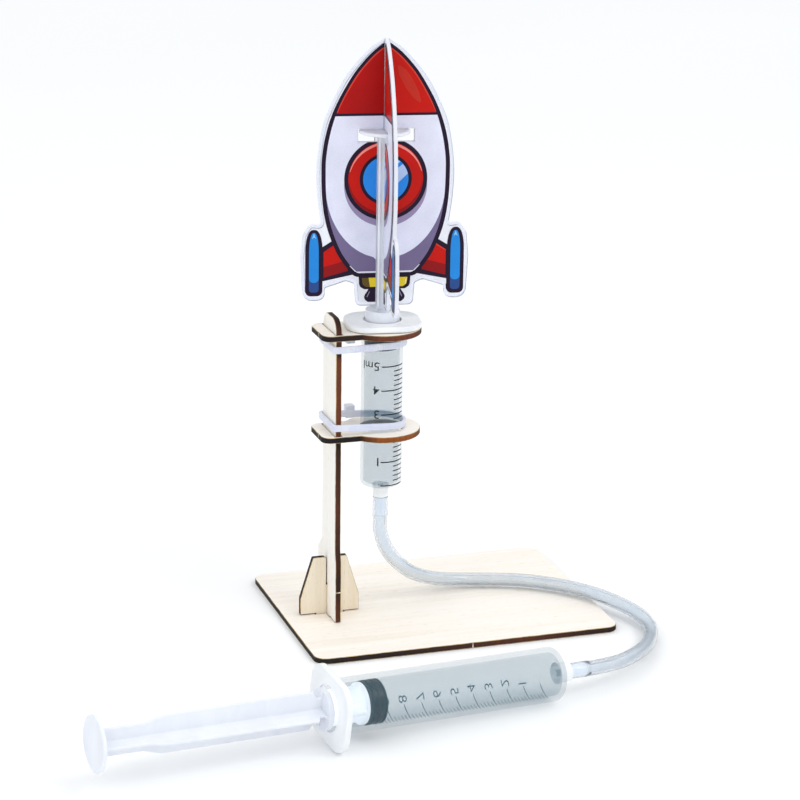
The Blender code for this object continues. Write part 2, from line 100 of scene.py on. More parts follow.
# Rocket
ROCKET_TURN = math.radians(-9.3)
BOARD_THICKNESS = 1.3 * MM
BOARD_OFFSET = 0.45 * MM     # the boards sit this far off the plunger's axis
BOARD_RIM = 0.12 * MM
INK_STEP = 0.012 * MM       # each printed layer stands this much above the last
PRINT_MARGIN = 1.15 * MM    # clear border outside the print's white backing

# Syringes, in millimetres along each axis from the shoulder at the nozzle end
LIFT = SimpleNamespace(
    outer=7.2, bore=6.1, length=58.9, floor=1.0, flange=(26.0, 22.0), flange_corner=8.0,
    flange_thickness=2.1, flange_turn=math.degrees(ROCKET_TURN), hub=2.6, hub_length=4.9,
    nozzle_length=11.6, nozzle=1.95, seal_front=48.8, seal_length=6.0, disc_top=124.6, disc=8.6,
    disc_thickness=1.3, stations=((55.7, 5.8), (62.4, 5.8), (63.6, 2.8), (123.9, 2.8)),
    guide=(57.6, 5.9, 5.0), rib_turn=35.7)
HAND = SimpleNamespace(
    outer=8.95, bore=7.1, length=82.5, floor=1.0, flange=(26.4, 23.2), flange_corner=7.0,
    flange_thickness=2.2, flange_turn=77.0, hub=3.2, hub_length=5.4,
    nozzle_length=11.6, nozzle=2.15, seal_front=64.3, seal_length=6.2, disc_top=160.5, disc=9.0,
    disc_thickness=1.2,
    stations=((71.4, 6.7), (84.8, 6.7), (85.6, 4.4), (87.0, 4.4), (88.4, 6.8), (138.0, 6.8),
              (144.5, 4.9), (160.0, 4.9)),
    guide=(83.2, 6.9, 1.6), rib_turn=-13.0)
LIFT_SHOULDER = 49.2 * MM
HAND_FLANGE = Vector((-69.0, -104.1, 12.55)) * MM
HAND_YAW = math.radians(9.6)
HAND_DIP = math.radians(2.4)
HAND_ROLL = math.radians(5.0)
FLANGE_RIM = 0.45 * MM
TURN_STEPS = 96

# Hose
HOSE_RADIUS = 2.47 * MM
HOSE_BORE = 1.6 * MM
HOSE_SLEEVE = 0.15 * MM     # the hose is stretched by this over each nozzle
HOSE_LEAD = 5.1             # straight run at the hand nozzle, in millimetres
HOSE_SPACING = 0.9 * MM
HOSE_STEPS = 32
HOSE_ROUTE = (
    (-20.7, -2.85, 31.6), (-18.3, -1.8, 24.6), (-13.4, 0.4, 17.9), (-5.7, 3.9, 11.4),
    (4.4, 7.6, 6.9), (15.0, 8.5, 5.1), (25.0, 5.9, 4.95), (34.4, 2.2, 4.95), (43.0, -3.6, 4.95),
    (50.8, -11.4, 4.95), (57.5, -21.6, 4.8), (63.0, -33.8, 3.9), (64.4, -43.6, 3.0),
    (61.2, -54.4, 3.2), (53.6, -67.4, 4.9), (44.4, -78.0, 6.7), (36.4, -84.0, 7.6))


def srgb(red, green, blue):
    """Linear colour from 0-255 values."""
    linear = [((c / 255 + 0.055) / 1.055) ** 2.4 if c > 10 else c / 255 / 12.92 for c in (red, green, blue)]
    return (*linear, 1.0)


# Places

def lift_place():
    return Matrix.Translation((AXIS_X, AXIS_Y, LIFT_SHOULDER))


def hand_place():
    turn = Euler((0, math.radians(-90) + HAND_DIP, 0)).to_matrix()
    rotation = Matrix.Rotation(HAND_YAW, 3, "Z") @ turn @ Matrix.Rotation(HAND_ROLL, 3, "Z")
    middle = (HAND.length - HAND.flange_thickness / 2) * MM
    shoulder = HAND_FLANGE - rotation @ Vector((0, 0, middle))
    return Matrix.Translation(shoulder) @ rotation.to_4x4()


def frame_matrix(x_axis, y_axis, origin):
    """A placing whose local X and Y lie along the given axes."""
    x, y = Vector(x_axis), Vector(y_axis)
    columns = Matrix((x, y, x.cross(y))).transposed()
    return Matrix.Translation(origin) @ columns.to_4x4()


# Camera

def make_camera():
    """The camera at the viewing angle that the object is shown from."""
    a, e, r = CAMERA_AZIMUTH, CAMERA_ELEVATION, CAMERA_ROLL
    back = Vector((math.sin(a) * math.cos(e), -math.cos(a) * math.cos(e), math.sin(e)))
    right = Vector((math.cos(a), math.sin(a), 0))
    up = back.cross(right)
    x = right * math.cos(r) + up * math.sin(r)
    y = up * math.cos(r) - right * math.sin(r)
    data = bpy.data.cameras.new("camera")
    data.lens = CAMERA_LENS
    data.sensor_width = SENSOR_WIDTH
    camera = bpy.data.objects.new("camera", data)
    bpy.context.scene.collection.objects.link(camera)
    rotation = Matrix((x, y, back)).transposed().to_4x4()
    camera.matrix_world = Matrix.Translation(CAMERA_AIM + back * CAMERA_DISTANCE) @ rotation
    bpy.context.scene.camera = camera


# Materials

class Paint:
    """A Principled material with helpers for the nodes that feed it."""

    def __init__(self, name, **constants):
        self.material = bpy.data.materials.new(name)
        self.material.use_nodes = True
        self.tree = self.material.node_tree
        self.shader = self.tree.nodes["Principled BSDF"]
        for socket, value in constants.items():
            self.shader.inputs[socket.replace("_", " ")].default_value = value
        self.object_point = self.add("ShaderNodeTexCoord").outputs["Object"]

    def add(self, kind, inputs=None, **settings):
        node = self.tree.nodes.new(kind)
        for key, value in settings.items():
            setattr(node, key, value)
        for socket, value in (inputs or {}).items():
            if isinstance(value, bpy.types.NodeSocket):
                self.tree.links.new(value, node.inputs[socket])
            else:
                node.inputs[socket].default_value = value
        return node

    def stretched(self, x, y, z, turn=0.0):
        """The object's own coordinates, scaled per metre along each axis."""
        mapping = self.add("ShaderNodeMapping", {"Vector": self.object_point, "Scale": (x, y, z)})
        mapping.inputs["Rotation"].default_value[2] = turn
        return mapping.outputs["Vector"]

    def noise(self, vector, scale=1.0, detail=4.0, roughness=0.55, distortion=0.0):
        node = self.add("ShaderNodeTexNoise", {
            "Vector": vector, "Scale": scale, "Detail": detail, "Roughness": roughness,
            "Distortion": distortion})
        return node.outputs["Fac"]

    def ramp(self, value, *stops):
        """Colours at positions along a value."""
        node = self.add("ShaderNodeValToRGB", {"Fac": value})
        elements = node.color_ramp.elements
        for element, (position, colour) in zip((elements[0], elements[1]), (stops[0], stops[-1])):
            element.position = position
            element.color = colour
        for position, colour in stops[1:-1]:
            elements.new(position).color = colour
        return node.outputs["Color"]

    def grey(self, value, low, high):
        """A value stretched so that low is black and high is white."""
        node = self.add("ShaderNodeMapRange", {"Value": value, "From Min": low, "From Max": high})
        return node.outputs["Result"]

    def mix(self, factor, a, b, blend="MIX"):
        node = self.add("ShaderNodeMix", data_type="RGBA", blend_type=blend)
        for index, value in ((0, factor), (6, a), (7, b)):
            if isinstance(value, bpy.types.NodeSocket):
                self.tree.links.new(value, node.inputs[index])
            else:
                node.inputs[index].default_value = value
        return node.outputs[2]

    def axis(self, name):
        node = self.add("ShaderNodeSeparateXYZ", {"Vector": self.object_point})
        return node.outputs[name]

    def feed(self, socket, value):
        self.tree.links.new(value, self.shader.inputs[socket])

    def bump(self, height, distance, strength=1.0):
        node = self.add("ShaderNodeBump", {"Height": height, "Distance": distance, "Strength": strength})
        self.feed("Normal", node.outputs["Normal"])

    def roughen(self, value, low, high):
        """Roughness that wanders between two values."""
        node = self.add("ShaderNodeMapRange", {
            "Value": value, "From Min": 0.3, "From Max": 0.7, "To Min": low, "To Max": high})
        self.feed("Roughness", node.outputs["Result"])


def plywood_face(name, light, shade):
    """Pale veneer: long soft grain along local X, short pores and broad uneven tone."""
    paint = Paint(name, Roughness=0.62, Specular_IOR_Level=0.3)
    grain = paint.noise(paint.stretched(14, 420, 420), detail=7, roughness=0.62, distortion=0.25)
    broad = paint.noise(paint.stretched(9, 38, 38), detail=3)
    pores = paint.noise(paint.stretched(260, 3600, 3600), detail=2, roughness=0.5)
    tone = paint.ramp(grain, (0.30, srgb(*shade)), (0.62, srgb(*light)))
    tone = paint.mix(paint.grey(broad, 0.35, 0.75), tone, srgb(*light))
    speck = paint.ramp(pores, (0.26, srgb(206, 182, 150)), (0.36, (1, 1, 1, 1)))
    paint.feed("Base Color", paint.mix(0.55, tone, speck, "MULTIPLY"))
    paint.roughen(grain, 0.55, 0.72)
    paint.bump(paint.mix(0.5, grain, pores), 0.05 * MM, 0.6)
    return paint.material


def burnt_edge(name, length, *stops):
    """Laser-cut edge: scorch colour that varies along local X (on the post partly painted shade, on the
    lower plate partly painted highlight), glue lines, and fine cut lines across.
    """
    paint = Paint(name, Roughness=0.7, Specular_IOR_Level=0.25)
    wander = paint.noise(paint.stretched(60, 60, 60), detail=3)
    shift = paint.grey(wander, -2.2, 3.2)
    way = paint.grey(paint.axis("X"), *length)
    along = paint.add("ShaderNodeMath", {0: way, 1: shift}, operation="ADD")
    along = paint.add("ShaderNodeMath", {0: along.outputs[0], 1: -0.5}, operation="ADD")
    scorch_and_painted_light = paint.ramp(along.outputs[0], *[(position, srgb(*colour)) for position, colour in stops])
    cuts = paint.noise(paint.stretched(2600, 2600, 260), detail=3, roughness=0.6)
    plies = paint.ramp(
        paint.grey(paint.axis("Z"), 0.0, PLY),
        (0.0, (0.45, 0.42, 0.4, 1)), (0.2, (0.95, 0.95, 0.95, 1)), (0.36, (0.62, 0.58, 0.55, 1)),
        (0.52, (1, 1, 1, 1)), (0.68, (0.65, 0.6, 0.58, 1)), (0.86, (1.25, 1.2, 1.15, 1)))
    tone = paint.mix(0.7, scorch_and_painted_light, plies, "MULTIPLY")
    streak = paint.ramp(cuts, (0.32, (0.55, 0.5, 0.48, 1)), (0.66, (1.2, 1.15, 1.1, 1)))
    paint.feed("Base Color", paint.mix(0.75, tone, streak, "MULTIPLY"))
    paint.roughen(cuts, 0.5, 0.85)
    paint.bump(cuts, 0.06 * MM)
    return paint.material


def scorched_rim(name, colour):
    """The thin browned line where a face meets its burnt edge."""
    paint = Paint(name, Roughness=0.6, Specular_IOR_Level=0.3)
    wander = paint.noise(paint.stretched(240, 240, 240), detail=4)
    dark = [c * 0.55 for c in colour]
    paint.feed("Base Color", paint.ramp(wander, (0.36, srgb(*dark)), (0.6, srgb(*colour))))
    paint.bump(wander, 0.03 * MM)
    return paint.material


def moulded(name, colour, shade, roughness, **constants):
    """Moulded plastic or rubber: faint flow marks, a fine skin, and uneven gloss."""
    paint = Paint(name, Roughness=roughness, **constants)
    flow = paint.noise(paint.stretched(120, 120, 40), detail=4, distortion=0.6)
    skin = paint.noise(paint.stretched(1800, 1800, 1800), detail=2)
    paint.feed("Base Color", paint.ramp(flow, (0.34, srgb(*shade)), (0.66, srgb(*colour))))
    paint.roughen(flow, roughness * 0.8, roughness * 1.25)
    paint.bump(skin, 0.012 * MM)
    return paint.material


def ink(name, colour, gloss=0.35):
    """Printed ink: even colour with a fine print grain and a low sheen."""
    paint = Paint(name, Roughness=gloss, Specular_IOR_Level=0.15)
    grain = paint.noise(paint.stretched(2400, 2400, 2400), detail=2)
    broad = paint.noise(paint.stretched(70, 70, 70), detail=2)
    low = [c * 0.95 for c in colour]
    tone = paint.ramp(broad, (0.35, srgb(*low)), (0.65, srgb(*colour)))
    speck = paint.ramp(grain, (0.3, (0.94, 0.94, 0.94, 1)), (0.6, (1, 1, 1, 1)))
    paint.feed("Base Color", paint.mix(1.0, tone, speck, "MULTIPLY"))
    paint.roughen(grain, gloss * 0.8, gloss * 1.3)
    paint.bump(grain, 0.004 * MM)
    return paint.material


AMBER = (150, 84, 30)
BROWN = (112, 60, 38)
UMBER = (88, 48, 30)
CHAR = (48, 29, 22)
SOOT = (24, 18, 18)

FACE = plywood_face("plywood_face", (250, 244, 236), (241, 231, 217))
POST_FACE = plywood_face("plywood_post_face", (247, 244, 238), (240, 234, 220))
BRACE_FACE = plywood_face("plywood_brace_face", (243, 231, 211), (230, 214, 186))
EDGE_BASE = burnt_edge(
    "burnt_edge_base", (-0.055, 0.055), (0.0, SOOT), (0.3, CHAR), (0.7, UMBER), (1.0, SOOT))
# The post's edge goes to soot just under each clamp plate (0.61 and 0.92 of its height): painted shade
# where the plates shade it, over its burnt colour.
EDGE_POST = burnt_edge(
    "burnt_edge_post_and_painted_shade", (0.0, POST_TOP), (0.0, BROWN), (0.14, CHAR), (0.42, UMBER), (0.57, CHAR),
    (0.61, SOOT), (0.65, BROWN), (0.89, BROWN), (0.92, SOOT), (0.95, BROWN), (1.0, SOOT))
PLATE_LENGTH = (-0.0455, -0.0075)
# The lower plate's amber round end is partly painted highlight, where its curved edge catches the light,
# over its burnt colour.
EDGE_LOWER = burnt_edge(
    "burnt_edge_lower_plate_and_painted_highlight", PLATE_LENGTH,
    (0.0, SOOT), (0.38, SOOT), (0.5, AMBER), (0.85, AMBER), (1.0, CHAR))
EDGE_UPPER = burnt_edge(
    "burnt_edge_upper_plate", PLATE_LENGTH,
    (0.0, SOOT), (0.38, CHAR), (0.5, BROWN), (0.85, BROWN), (1.0, SOOT))
EDGE_BRACE = burnt_edge("burnt_edge_brace", (0.0, 0.024), (0.0, CHAR), (1.0, SOOT))
RIM_TAN = scorched_rim("scorched_rim", (206, 176, 118))
BARE_WOOD = scorched_rim("bare_wood_nick", (240, 226, 200))
NYLON = moulded("tie_nylon", (238, 240, 252), (222, 226, 248), 0.38, Subsurface_Weight=0.25,
                Subsurface_Radius=(0.0015, 0.0015, 0.0018), Transmission_Weight=0.15)
RUBBER = moulded("seal_rubber", (34, 37, 46), (20, 22, 28), 0.34)
PLUNGER = moulded("plunger_white", (236, 239, 245), (229, 232, 240), 0.36, Subsurface_Weight=0.15,
                  Subsurface_Radius=(0.0012, 0.0012, 0.0015))
# Milky white with a painted glow: its emission stands in for light that the clear barrel and hose keep off
# the nozzle, the plunger's inner end and the seal's button.
PAINTED_GLOW_WHITE = moulded("milky_white_painted_glow", (246, 248, 252), (240, 243, 249), 0.36,
                       Emission_Color=(0.93, 0.96, 1.0, 1.0), Emission_Strength=0.4)
BARREL = moulded("barrel_clear", (114, 150, 165), (106, 143, 159), 0.2, Alpha=0.17)
FLANGE = moulded("barrel_flange", (251, 252, 253), (245, 247, 250), 0.35, Transmission_Weight=0.12, IOR=1.4)
HOSE = moulded("hose_clear", (240, 244, 248), (233, 239, 245), 0.09, Transmission_Weight=0.95, IOR=1.42,
               Specular_IOR_Level=0.35)
ACRYLIC = moulded("board_clear", (238, 240, 252), (232, 236, 250), 0.05, Transmission_Weight=0.92, IOR=1.4)
ACRYLIC_EDGE = moulded("board_cut_edge", (248, 249, 255), (240, 242, 252), 0.4, Transmission_Weight=0.2)
SCALE_BLACK = ink("scale_ink_black", (28, 34, 38), 0.4)
SCALE_GREY = ink("scale_ink_grey", (88, 100, 108), 0.4)
INK_COLOURS = {
    "white": (246, 248, 255), "dark": (34, 18, 44), "lavender": (236, 238, 255), "grey": (124, 112, 150),
    "crescent": (160, 147, 182), "red": (206, 20, 8), "deep_red": (176, 8, 8), "shade_red": (150, 14, 20),
    "pink": (250, 150, 138), "coral": (222, 66, 46), "leaf": (204, 48, 34), "glass": (44, 146, 240),
    "sky": (192, 214, 250), "blue": (38, 142, 228), "navy": (44, 78, 142), "tip": (150, 206, 246),
    "yellow": (240, 214, 52), "olive": (104, 84, 34),
}
INKS = {name: ink(f"print_{name}", colour) for name, colour in INK_COLOURS.items()}


# Meshes

def leans(place):
    """Whether a placing turns its piece off the shared axes."""
    return any(0.001 < abs(value) < 0.999 for row in place.to_3x3() for value in row)


def add_piece(name, bm, materials, place, body, smooth=35.0):
    """Turn a bmesh into a piece that rides on a CAD body."""
    bmesh.ops.remove_doubles(bm, verts=bm.verts, dist=1e-7)
    bmesh.ops.recalc_face_normals(bm, faces=bm.faces)
    if leans(place):
        bm.transform(place)
        place = Matrix.Identity(4)
    mesh = bpy.data.meshes.new(name)
    bm.to_mesh(mesh)
    bm.free()
    if smooth:
        mesh.shade_smooth()
        mesh.set_sharp_from_angle(angle=math.radians(smooth))
    for material in materials:
        mesh.materials.append(material)
    piece = bpy.data.objects.new(name, mesh)
    bpy.context.scene.collection.objects.link(piece)
    piece.matrix_world = place
    if body:
        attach(piece, body)
    return piece


def rounded(corners, steps=10):
    """Outline through (x, y, radius) corners, with an arc at each corner that has a radius."""
    outline = []
    for index, (x, y, radius) in enumerate(corners):
        corner = Vector((x, y))
        if not radius:
            outline.append(corner)
            continue
        before = (Vector(corners[index - 1][:2]) - corner).normalized()
        after = (Vector(corners[(index + 1) % len(corners)][:2]) - corner).normalized()
        half = before.angle(after) / 2
        centre = corner + (before + after).normalized() * radius / math.sin(half)
        start = corner + before * radius / math.tan(half) - centre
        end = corner + after * radius / math.tan(half) - centre
        outline += [centre + start.slerp(end, step / steps, start).normalized() * radius
                    for step in range(steps + 1)]
    return outline


def arc(centre, radius, start, end, steps):
    """Points on an arc, from one angle to another in degrees."""
    angles = [math.radians(start + (end - start) * step / steps) for step in range(steps + 1)]
    return [Vector((centre[0] + radius * math.cos(a), centre[1] + radius * math.sin(a))) for a in angles]


def smooth_curve(points, per_span):
    """A Catmull-Rom curve through the points, both ends included."""
    points = [Vector(point) for point in points]
    ends = [points[0] * 2 - points[1]] + points + [points[-1] * 2 - points[-2]]
    curve = []
    for a, b, c, d in zip(ends, ends[1:], ends[2:], ends[3:]):
        for step in range(per_span):
            t = step / per_span
            curve.append(0.5 * (2 * b + (c - a) * t + (2 * a - 5 * b + 4 * c - d) * t * t
                                + (3 * b - 3 * c + d - a) * t ** 3))
    curve.append(points[-1])
    return curve


def signed_area(outline):
    return sum(a.x * b.y - b.x * a.y for a, b in zip(outline, outline[1:] + outline[:1])) / 2


def inset(outline, amount):
    """The outline moved towards its inside, each corner along its mitre."""
    turn = 1 if signed_area(outline) > 0 else -1
    moved = []
    for before, point, after in zip(outline[-1:] + outline[:-1], outline, outline[1:] + outline[:1]):
        first = (point - before).normalized()
        second = (after - point).normalized()
        normal = Vector((-first.y - second.y, first.x + second.x))
        if normal.length < 1e-6:
            moved.append(point.copy())
            continue
        normal.normalize()
        depth = amount / max(0.35, normal.dot(Vector((-first.y, first.x))))
        moved.append(point + normal * turn * depth)
    return moved


def slab(outline, holes, thickness, rim, rim_steps=1):
    """A flat piece from z = 0 to its thickness, with softened rims and any holes.

    Faces use slot 0, cut edges slot 1 and rims slot 2.
    """
    bm = bmesh.new()
    loops = [list(outline)] + [list(hole) for hole in holes]
    levels = []
    for step in range(rim_steps + 1):
        angle = math.pi / 2 * step / rim_steps
        levels.append((rim * (1 - math.sin(angle)), rim * (1 - math.cos(angle))))
    levels = levels + [(amount, thickness - height) for amount, height in reversed(levels)]
    caps = {0: [], len(levels) - 1: []}
    for index, loop in enumerate(loops):
        sign = 1 if index == 0 else -1
        rings = []
        for level, (amount, height) in enumerate(levels):
            ring = [bm.verts.new((p.x, p.y, height)) for p in inset(loop, sign * amount)]
            rings.append(ring)
            if level in caps:
                caps[level].append(ring)
        for level, (lower, upper) in enumerate(zip(rings, rings[1:])):
            for i in range(len(lower)):
                j = (i + 1) % len(lower)
                face = bm.faces.new((lower[i], lower[j], upper[j], upper[i]))
                face.material_index = 1 if level == rim_steps else 2
    for rings in caps.values():
        corners = [vert for ring in rings for vert in ring]
        for triangle in tessellate_polygon([[vert.co for vert in ring] for ring in rings]):
            bm.faces.new([corners[i] for i in triangle])
    return bm


def turned(profile, steps=TURN_STEPS, closed=False):
    """A solid of revolution about Z from (radius, height) in millimetres."""
    bm = bmesh.new()
    rings = []
    for radius, height in profile:
        if radius == 0:
            rings.append([bm.verts.new((0, 0, height * MM))] * steps)
            continue
        angles = [2 * math.pi * step / steps for step in range(steps)]
        rings.append([bm.verts.new((radius * MM * math.cos(a), radius * MM * math.sin(a), height * MM))
                      for a in angles])
    pairs = list(zip(rings, rings[1:] + rings[:1])) if closed else list(zip(rings, rings[1:]))
    for lower, upper in pairs:
        for i in range(steps):
            j = (i + 1) % steps
            corners = tuple(dict.fromkeys((lower[i], lower[j], upper[j], upper[i])))
            if len(corners) > 2:
                bm.faces.new(corners)
    return bm


def combine(target, tool, operation):
    """Join a tool to the target or cut it out, then drop the tool."""
    modifier = target.modifiers.new("boolean", "BOOLEAN")
    modifier.operation = operation
    modifier.solver = "EXACT"
    modifier.object = tool
    modifier.material_mode = "TRANSFER"
    bpy.context.view_layer.update()
    evaluated = target.evaluated_get(bpy.context.evaluated_depsgraph_get())
    mesh = bpy.data.meshes.new_from_object(evaluated)
    target.modifiers.clear()
    target.data = mesh
    bpy.data.objects.remove(tool)


# Plywood stand

def board_piece(name, outline, holes, place, face, edge):
    """One laser-cut plywood piece that stands for the CAD node of the same name."""
    board = slab(outline, holes, PLY, RIM)
    piece = add_piece(name + "_ply", board, [face, edge, RIM_TAN], place, "root", smooth=30.0)
    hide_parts(name)


def rectangle(x_low, x_high, y_low, y_high, radius=0.0):
    corners = ((x_low, y_low), (x_high, y_low), (x_high, y_high), (x_low, y_high))
    return [(x, y, radius) for x, y in corners]


def make_base():
    """Base plate with the crossed slot for the tabs of the post and its brace."""
    low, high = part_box("base_plate")
    outline = rounded(rectangle(low.x, high.x, low.y, high.y, BASE_CORNER))
    across = PLY / 2 + SLOT_GAP
    along = TAB_HALF + SLOT_GAP
    corner = [Vector(point) for point in ((across, across), (across, along), (-across, along))]
    cross = [Matrix.Rotation(turn * math.pi / 2, 2) @ point for turn in range(4) for point in corner]
    hole = [Vector((POST_X, BRACE_Y)) + point for point in cross]
    board_piece("base_plate", outline, [hole], Matrix.Identity(4), FACE, EDGE_BASE)


def make_post():
    """Upright board: local X is the height, local Y the depth and local Z the thickness."""
    front, back = POST_FRONT, POST_FRONT + POST_WIDTH
    seat = PLY + TOUCH_GAP
    slot = PLY / 2 + SLOT_GAP
    foot_front, foot_back = front - FOOT_FRONT, front + FOOT_WIDTH
    shape = [
        (seat, foot_front, 0), (seat, BRACE_Y - TAB_HALF, 0), (TAB_RECESS, BRACE_Y - TAB_HALF, 0),
        (TAB_RECESS, BRACE_Y - slot, 0), (HALVING_HEIGHT + SLOT_GAP, BRACE_Y - slot, 0),
        (HALVING_HEIGHT + SLOT_GAP, BRACE_Y + slot, 0), (TAB_RECESS, BRACE_Y + slot, 0),
        (TAB_RECESS, BRACE_Y + TAB_HALF, 0), (seat, BRACE_Y + TAB_HALF, 0), (seat, foot_back, 0),
        (FOOT_TOP, foot_back, FOOT_TAPER / 3), (FOOT_TOP + FOOT_TAPER, back, FOOT_TAPER / 3),
        (POST_TOP, back, POST_TOP_CORNER), (POST_TOP, front, POST_TOP_CORNER),
        (FOOT_TOP + FOOT_TAPER, front, 0), (FOOT_TOP, foot_front, 0)]
    place = frame_matrix((0, 0, 1), (0, 1, 0), (POST_X + PLY / 2, 0, 0))
    board_piece("post", rounded(shape), [], place, POST_FACE, EDGE_POST)


def make_brace():
    """Small tapered board across the post's foot: local X is the height."""
    seat = PLY + TOUCH_GAP
    slot = PLY / 2 + SLOT_GAP
    bottom = HALVING_HEIGHT - SLOT_GAP
    half = [
        (TAB_RECESS, TAB_HALF, 0), (seat, TAB_HALF, 0), (seat, BRACE_HALF_FOOT, 0),
        (seat + BRACE_SIDE, BRACE_HALF_FOOT, 0), (BRACE_TOP, BRACE_HALF_TOP, 0.4 * MM),
        (BRACE_TOP, slot, 1.0 * MM), (bottom, slot, 0)]
    shape = [(z, POST_X + x, r) for z, x, r in half] + [(z, POST_X - x, r) for z, x, r in reversed(half)]
    place = frame_matrix((0, 0, 1), (1, 0, 0), (0, BRACE_Y - PLY / 2, 0))
    board_piece("foot_brace", rounded(shape, 5), [], place, BRACE_FACE, EDGE_BRACE)


def make_clamp_plate(name, edge):
    """Keyhole-shaped plate: a round end round the barrel and a square end round the post."""
    low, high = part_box(name)
    meet = math.degrees(math.asin(PLATE_HALF_WIDTH / PLATE_ROUND))
    end = AXIS_X - PLATE_REACH
    y_high, y_low = AXIS_Y + PLATE_HALF_WIDTH, AXIS_Y - PLATE_HALF_WIDTH
    outline = (arc((AXIS_X, AXIS_Y), PLATE_ROUND, -180 + meet, 180 - meet, 96)
               + arc((end + PLATE_CORNER, y_high - PLATE_CORNER), PLATE_CORNER, 90, 180, 10)
               + arc((end + PLATE_CORNER, y_low + PLATE_CORNER), PLATE_CORNER, 180, 270, 10))
    hole = arc((AXIS_X, AXIS_Y), LIFT.outer * MM + TOUCH_GAP, 0, 360, TURN_STEPS)[:-1]
    across = PLY / 2 + SLOT_GAP
    slot = rectangle(POST_X - across, POST_X + across,
                     POST_FRONT - SLOT_GAP, POST_FRONT + POST_WIDTH + SLOT_GAP)
    board_piece(name, outline, [hole, rounded(slot)], Matrix.Translation((0, 0, low.z)), FACE, edge)


# Unburnt tabs that held each board in its sheet: the middle in millimetres, the edge's outward
# direction, and the direction along the edge
NICKS = {
    "base_front": ((0.6, -41.75, 1.0), (0, -1, 0), (1, 0, 0)),
    "base_back": ((-8.0, 41.75, 1.0), (0, 1, 0), (1, 0, 0)),
    "post_foot": ((-38.6, -11.75, 13.2), (0, -1, 0), (0, 0, 1)),
    "lower_plate_end": ((-44.25, -5.6, 68.8), (-1, 0, 0), (0, 1, 0)),
    "upper_plate_end": ((-44.25, -5.6, 104.7), (-1, 0, 0), (0, 1, 0)),
}
NICK_WIDTH = 0.42 * MM
NICK_HEIGHT = 1.72 * MM
NICK_CORNER = 0.12 * MM
NICK_THICKNESS = 0.05 * MM
NICK_SUNK = 0.03 * MM


def one_material(piece):
    """A slab whose faces, edges and rims all have its one material."""
    for face in piece.data.polygons:
        face.material_index = 0


def make_nicks():
    """Slivers of bare wood, slightly proud of the burnt edge."""
    width, height = NICK_WIDTH / 2, NICK_HEIGHT / 2
    outline = rounded(rectangle(-width, width, -height, height, NICK_CORNER), 3)
    for name, (middle, outward, along) in NICKS.items():
        across = Vector(outward).cross(Vector(along))
        place = frame_matrix(along, across, Vector(middle) * MM - Vector(outward) * NICK_SUNK)
        nick = slab(outline, [], NICK_THICKNESS, NICK_SUNK)
        piece = add_piece(f"nick_{name}", nick, [BARE_WOOD], place, "root")
        one_material(piece)


# Cable ties

TIE_STEPS = 240
# Height in millimetres, how far it drops towards the barrel, side of the head, and whether teeth show
TIES = {"lower_cable_tie": (73.0, 1.4, 1, False), "upper_cable_tie": (100.6, 0.0, -1, True)}
TIE_WIDTH = 2.3 * MM
TIE_THICKNESS = 1.1 * MM
TIE_HEAD = Vector((3.2, 3.4, 4.4)) * MM
TIE_HEAD_X = -29.5 * MM
HEAD_CORNER = 0.45 * MM
HEAD_MARGIN = 0.4 * MM      # the head reaches this far past the band's far edge
TIE_CORNER = 0.22 * MM
TOOTH_PITCH = 0.9 * MM
TOOTH_DEPTH = 0.14 * MM


def tie_outline(offset):
    """A band drawn tight round the post and the barrel, at an offset from both."""
    half = POST_WIDTH / 2
    supports = [(POST_X + x, AXIS_Y + y, 0.0) for x in (-PLY / 2, PLY / 2) for y in (-half, half)]
    supports.append((AXIS_X, AXIS_Y, LIFT.outer * MM))
    corners = []
    for step in range(TIE_STEPS):
        angle = 2 * math.pi * (step + 0.5) / TIE_STEPS
        away = Vector((math.cos(angle), math.sin(angle)))
        x, y, radius = max(supports, key=lambda s: Vector(s[:2]).dot(away) + s[2])
        corners.append(Vector((x, y)) + away * (radius + offset))
    return corners


def evenly(points, spacing):
    """Points along a closed outline at an even spacing, each with its outward normal."""
    lengths = [(b - a).length for a, b in zip(points, points[1:] + points[:1])]
    total = sum(lengths)
    count = max(8, round(total / spacing))
    found, index, start = [], 0, 0.0
    for step in range(count):
        target = total * step / count
        while start + lengths[index] < target:
            start += lengths[index]
            index += 1
        a, b = points[index], points[(index + 1) % len(points)]
        direction = (b - a).normalized()
        found.append((a + direction * (target - start), Vector((direction.y, -direction.x))))
    return found


